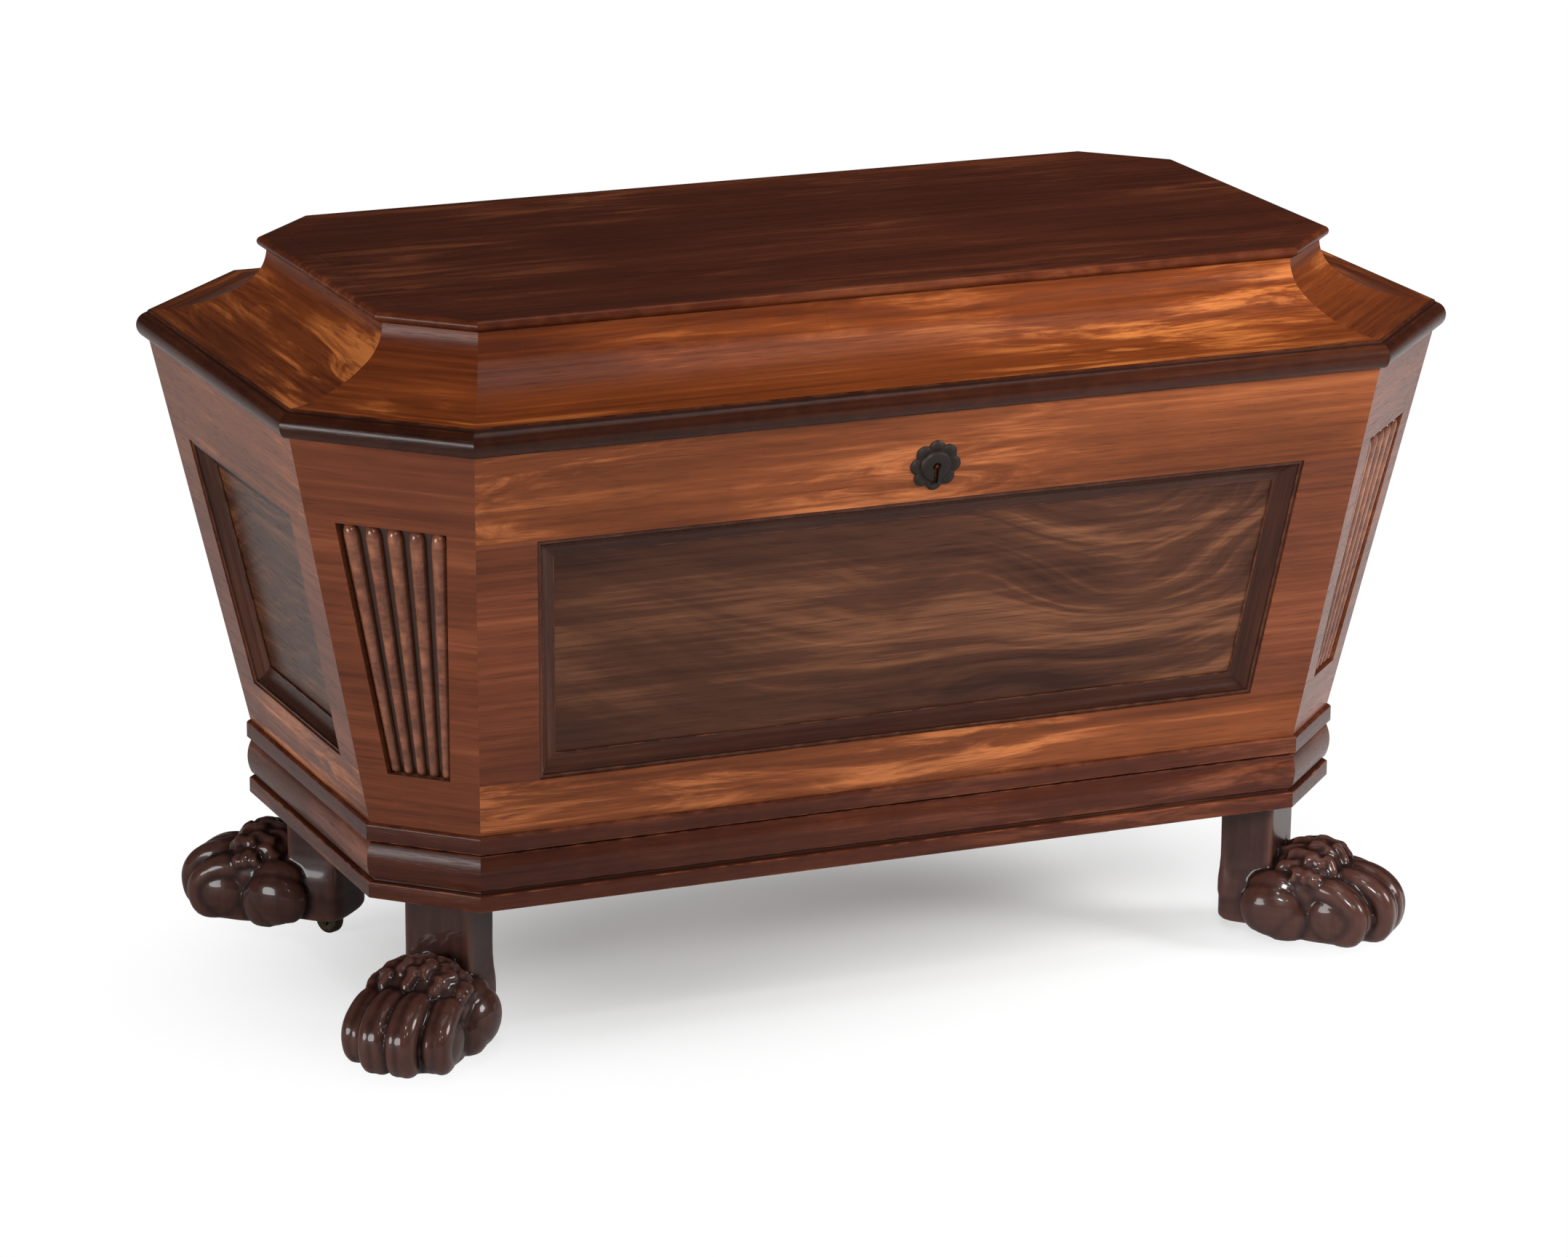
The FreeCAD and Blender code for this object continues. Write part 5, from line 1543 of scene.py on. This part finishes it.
    @staticmethod
    def _eased(points: Sequence[Sequence[float]], count: int = 30) -> Array:
        """A smooth line through points, by Catmull-Rom splines.

        Between two points the line is the cubic whose slopes at its ends are half the steps
        between their neighbours.

        Args:
            points: The points, of any number of columns.
            count: Points on the line.

        Returns:
            The line, of shape (count, columns).
        """
        knots = np.asarray(points, float)
        padded = np.concatenate([[2 * knots[0] - knots[1]], knots, [2 * knots[-1] - knots[-2]]])
        way = np.linspace(0.0, len(knots) - 1.0, count)
        start = np.minimum(way.astype(int), len(knots) - 2)
        share = (way - start)[:, None]
        a, b, c, d = (padded[start + shift] for shift in range(4))
        return 0.5 * (2 * b + (c - a) * share + (2 * a - 5 * b + 4 * c - d) * share ** 2
                      + (3 * b - a - 3 * c + d) * share ** 3)

    def _toes(self) -> Iterable[Skin]:
        """Four plump toes, each of two lobes that part along a shallow crease.

        A lobe runs from the instep over the knuckle, down over the blunt tip and back under to
        the pad. The outer toes are set back and lower, and have a full flank.

        Returns:
            A skin for each lobe and each flank.
        """
        for toe in range(self.toes):
            place = toe - (self.toes - 1) / 2
            outer = abs(place) - 0.5
            back = self.toe_setback * outer
            drop = self.toe_drop * outer
            for lobe in (-self.lobe_half, self.lobe_half):
                root = place * self.toe_spread * 0.8 + lobe * 0.6
                knuckle = place * self.toe_spread * 0.93 + lobe
                tip = place * self.toe_spread + lobe * 1.1
                line = self._eased([
                    (root, 0.046 + back * 0.5, 0.046 - drop, 0.0062),
                    (root * 0.4 + knuckle * 0.6, 0.034 + back * 0.7, 0.0485 - drop, 0.0078),
                    (knuckle, 0.02 + back * 0.9, 0.048 - drop, 0.0088),
                    (knuckle * 0.4 + tip * 0.6, 0.0088 + back, 0.0438 - drop, 0.0089),
                    (tip, 0.0014 + back, 0.0365 - drop * 0.8, 0.0088),
                    (tip, -0.0007 + back, 0.0275 - drop * 0.4, 0.0086),
                    (tip * 0.98, 0.0028 + back, 0.0175, 0.0086),
                    (tip * 0.94, 0.012 + back, 0.0155, 0.0078)])
                yield self._along(line[:, :3], line[:, 3], self.toe_squash)
        for hand in (-1, 1):
            yield self._bean((hand * 0.0248, 0.0265, 0.027), (0.0126, 0.0235, 0.0198))

    def _bean(self, centre: Place, radii: Place) -> Skin:
        """An ellipsoid.

        Its rings stand square to the depth. Their places follow the cosine and their radii the
        sine of an angle that runs from the front to the back.

        Args:
            centre: Its middle.
            radii: Its radii across, in depth and in height.

        Returns:
            The points and quads.
        """
        turn = np.linspace(0.08, math.pi - 0.08, 22)
        path = np.asarray(centre) - np.cos(turn)[:, None] * (0.0, radii[1], 0.0)
        return self._along(path, radii[2] * np.sin(turn), radii[0] / radii[2])

    def _pads(self) -> Iterable[Skin]:
        """Two broad pads on each flank behind the outer toe, and a small one over them.

        Returns:
            A skin for each pad.
        """
        for hand in (-1, 1):
            yield self._bean((hand * 0.0303, 0.0705, 0.029), (0.0126, 0.0222, 0.0195))
            yield self._bean((hand * 0.0275, 0.062, 0.024), (0.0132, 0.018, 0.0185))
            yield self._bean((hand * 0.0262, 0.069, 0.0425), (0.01, 0.019, 0.012))

    def _curls(self) -> Iterable[Skin]:
        """Rows of wavy tufts over the instep, which hang from the leg down between the toes.

        Returns:
            A skin for each tuft.
        """
        for over, count, widest, size in ((156, 4, 42, 0.0048), (128, 5, 58, 0.005),
                                          (98, 6, 62, 0.005), (68, 5, 62, 0.005)):
            for across in np.linspace(-widest, widest, count):
                yield self._curl(across, over, size)

    def _curl(self, across: float, over: float, size: float) -> Skin:
        """One tuft.

        It starts as a round knob at two angles on the instep's bulge, runs forwards and down,
        swings aside and back once, and tapers. The line holds the two angles and the radius.

        Args:
            across: How far aside it starts, in degrees.
            over: How far over from the bulge's front it starts, in degrees.
            size: Its knob's radius.

        Returns:
            The points and quads.
        """
        line = self._eased([
            (across, over + 4, size * 0.6), (across, over, size),
            (across + 2.5, over - 13, size * 0.94), (across - 1.5, over - 30, size * 0.8),
            (across * 1.04 + 1.5, over - 46, size * 0.4)], 22)
        sideways, forwards = np.radians(line[:, 0]), np.radians(line[:, 1])
        rise = self.instep_rise * np.cos(sideways) * self._instep_swell(forwards)
        path = columns(self.instep_half * np.sin(sideways),
                       self._instep_depth(forwards, np.cos(sideways)),
                       self.instep_height + rise - 0.4 * line[:, 2])
        return self._along(path, line[:, 2])


@dataclass
class Fittings:
    """The metalwork: escutcheon, lock, hinges, screws and castors."""

    finishes: Finishes
    drop: float = 0.037
    hole: float = 0.0028
    slot_half: float = 0.0015
    slot_end: float = 0.0115
    boss: float = 0.0098
    plate: float = 0.0172
    lobes: int = 8
    notch: float = 0.0029
    crown: float = 0.0011

    def build(self) -> None:
        """Makes the escutcheon and dresses the other metal."""
        self._escutcheon()
        brass, dark = self.finishes.get(BRASS), self.finishes.get(DARK_BRASS)
        for node in ("lock_case", "link_plate", "hinge_case_leaves", "hinge_lid_leaves"):
            dress(node, brass)
        for node in ("castor_plates", *(f"{side.name}_castor_{part}" for side in CANTED
                                        for part in ("fork", "wheel"))):
            dress(node, dark)
        for node in ("lock_bolt", "hinge_pins", "case_screws", "lid_screws"):
            dress(node, self.finishes.get(IRON))

    def _keyhole(self, angle: Array) -> Array:
        """How far the keyhole's edge is from its middle in each direction.

        It is a circle's radius or, near straight down, where the slot's side or end is met.

        Args:
            angle: Directions, anticlockwise from straight down.

        Returns:
            The distances.
        """
        side = self.slot_half / np.maximum(np.abs(np.sin(angle)), 1e-6)
        end = self.slot_end / np.maximum(np.cos(angle), 1e-6)
        slot = np.where(np.cos(angle) > 0.0, np.minimum(side, end), 0.0)
        return np.maximum(self.hole, slot)

    def _escutcheon(self) -> None:
        """A bronzed plate on the leaning face, with a raised boss and a ring of rounded petals."""
        corner = math.atan2(self.slot_half, self.slot_end)
        even = np.linspace(-math.pi, math.pi, 160, endpoint=False)
        angle = np.unique(np.round(np.concatenate([even, [-corner, corner]]), 9))
        radii, rise = self._plate_rows(angle)
        up = -radii * np.cos(angle)[:, None]
        sine, cosine = math.sin(OUTLINE.lean_angle), math.cos(OUTLINE.lean_angle)
        depth = self.drop * sine - up * sine - rise * cosine
        height = OUTLINE.top - self.drop * cosine + up * cosine - rise * sine
        places = columns(radii * np.sin(angle)[:, None], depth - OUTLINE.half_depth, height)
        piece = ring_piece("keyhole_plate", places, columns(radii[0], rise[0]))
        piece.stations = None
        piece.smooth_limit = 40.0
        piece.stand_in("escutcheon", "case", "escutcheon_brass", self.finishes.get(BRONZED))

    def _plate_rows(self, angle: Array) -> tuple[Array, Array]:
        """The plate's section in each direction from the keyhole's middle.

        The rim is a circle with a notch between its lobes. The height falls from the boss to the
        petals, which are crowned along their middles, and the section closes at the back.

        Args:
            angle: Directions, anticlockwise from straight down.

        Returns:
            Distances from the keyhole's middle and heights over the face, a row for each angle.
        """
        petal = np.abs(np.cos(angle * self.lobes / 2)) ** 0.8
        rim = self.plate - self.notch * (1.0 - petal)
        inner = self._keyhole(angle)
        edge = np.maximum(inner + 0.0006, self.boss)
        boss = ((inner, 0.003), (inner + 0.0003, 0.0034), (edge - 0.0009, 0.0034),
                (edge, 0.0027), (edge + 0.0007, 0.0014))
        share = np.linspace(0.0, 1.0, 12)[1:]
        crown = np.sin(share * math.pi)[None] * petal[:, None] * self.crown
        petal_radii = edge[:, None] + 0.0012 + (rim - edge - 0.0012)[:, None] * share[None]
        petal_rise = 0.0013 + crown - 0.0006 * share[None]
        radii = np.concatenate([columns(*(radius for radius, _ in boss)), petal_radii,
                                columns(rim * 0.998, inner)], axis=1)
        boss_rise = np.tile([rise for _, rise in boss], (len(angle), 1))
        rise = np.concatenate([boss_rise, petal_rise, np.zeros((len(angle), 2))], axis=1)
        return radii, rise


@dataclass(frozen=True)
class Lamp:
    """A broad oval lamp.

    The power is in watts. The aim is the point that it faces, which is the middle of the object
    unless it is given. The spread is the angle that its light fans out to, in degrees.
    """

    name: str
    place: Place
    size: tuple[float, float]
    power: float
    aim: Place = (0.0, 0.0, 0.25)
    spread: float = 180.0

    def hang(self) -> None:
        """Puts the lamp into the scene."""
        data = bpy.data.lights.new(self.name, "AREA")
        data.shape = "ELLIPSE"
        data.size, data.size_y = self.size
        data.energy = self.power
        data.spread = math.radians(self.spread)
        facing = Vector(self.aim) - Vector(self.place)
        turn = facing.to_track_quat("-Z", "Y").to_matrix().to_4x4()
        added(self.name, data).matrix_world = Matrix.Translation(self.place) @ turn


LAMPS = (Lamp("key", (-0.9, -2.3, 1.4), (0.7, 0.6), 9.0, aim=(0.7, -0.1, 0.58), spread=44.0),
         Lamp("right_fill", (2.0, -1.55, 1.25), (1.0, 0.9), 56.0),
         Lamp("front", (0.0, -3.2, 1.9), (0.6, 0.45), 10.0),
         Lamp("overhead", (0.2, -0.3, 2.6), (2.4, 1.7), 22.0),
         Lamp("sparkle", (-1.1, -2.1, 2.9), (0.36, 0.36), 15.0),
         Lamp("left_fill", (-2.9, -0.75, 0.55), (1.5, 0.9), 58.0))


@dataclass
class Studio:
    """The floor, the lamps, the world and the camera.

    The room is how bright the world is to matt surfaces, and the sheen to polished ones.
    """

    finishes: Finishes
    floor_half: float = 14.0
    azimuth: float = -23.42
    elevation: float = 16.35
    roll: float = 0.0079
    lens: float = 141.49
    place: Place = (-1.5617, -3.5905, 1.3602)
    room: float = 0.4
    sheen: float = 0.03

    def build(self) -> None:
        """Sets everything up."""
        self._floor()
        self._camera()
        self._world()
        for lamp in LAMPS:
            lamp.hang()
        bpy.context.scene.view_settings.view_transform = "Standard"

    def _floor(self) -> None:
        """A broad plain floor."""
        half = self.floor_half
        mesh = bpy.data.meshes.new("floor")
        mesh.from_pydata([(-half, -half, 0.0), (half, -half, 0.0), (half, half, 0.0),
                          (-half, half, 0.0)], [], [(0, 1, 2, 3)])
        mesh.materials.append(self.finishes.get(StudioFloor()))
        floor = added("floor", mesh)

    def _camera(self) -> None:
        """A long lens that looks down on the front from the left."""
        data = bpy.data.cameras.new("camera")
        data.lens = self.lens
        data.sensor_width = 36.0
        data.clip_end = 60.0
        camera = added("camera", data)
        turn, tilt = math.radians(self.azimuth), math.radians(self.elevation)
        back = Vector((math.sin(turn) * math.cos(tilt), -math.cos(turn) * math.cos(tilt),
                       math.sin(tilt)))
        right = Vector((math.cos(turn), math.sin(turn), 0.0))
        up = back.cross(right)
        across = right * math.cos(self.roll) + up * math.sin(self.roll)
        upwards = up * math.cos(self.roll) - right * math.sin(self.roll)
        camera.matrix_world = Matrix.Translation(self.place) @ Matrix(
            (across, upwards, back)).transposed().to_4x4()
        bpy.context.scene.camera = camera

    def _world(self) -> None:
        """White to the camera, also through glass, and dim and plain to all other rays."""
        world = bpy.data.worlds.new("studio")
        world.use_nodes = True
        nodes = Nodes(world.node_tree)
        ray = nodes.node("LightPath").outputs
        seen = nodes.value("Math", {"operation": "MAXIMUM"},
                           {0: ray["Is Camera Ray"], 1: ray["Is Transmission Ray"]})
        unseen = nodes.value("MapRange", {}, {"Value": ray["Is Glossy Ray"], "To Min": self.room,
                                              "To Max": self.sheen})
        strength = nodes.value("MapRange", {}, {"Value": seen, "To Min": unseen, "To Max": 1.0})
        background = nodes.node("Background", {}, {"Color": (1.0, 1.0, 1.0, 1.0),
                                                   "Strength": strength})
        nodes.node("OutputWorld", {}, {"Surface": background.outputs[0]})
        bpy.context.scene.world = world


def main() -> None:
    """Builds and dresses the whole piece."""
    logging.basicConfig(level=logging.INFO, format="%(name)s: %(message)s")
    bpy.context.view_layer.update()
    finishes = Finishes()
    Studio(finishes).build()
    for maker in (Case(finishes), Plinth(finishes), Lid(finishes), PawFoot(finishes),
                  Fittings(finishes)):
        LOG.info("building %s", type(maker).__name__)
        maker.build()


if __name__ == "__main__":
    main()
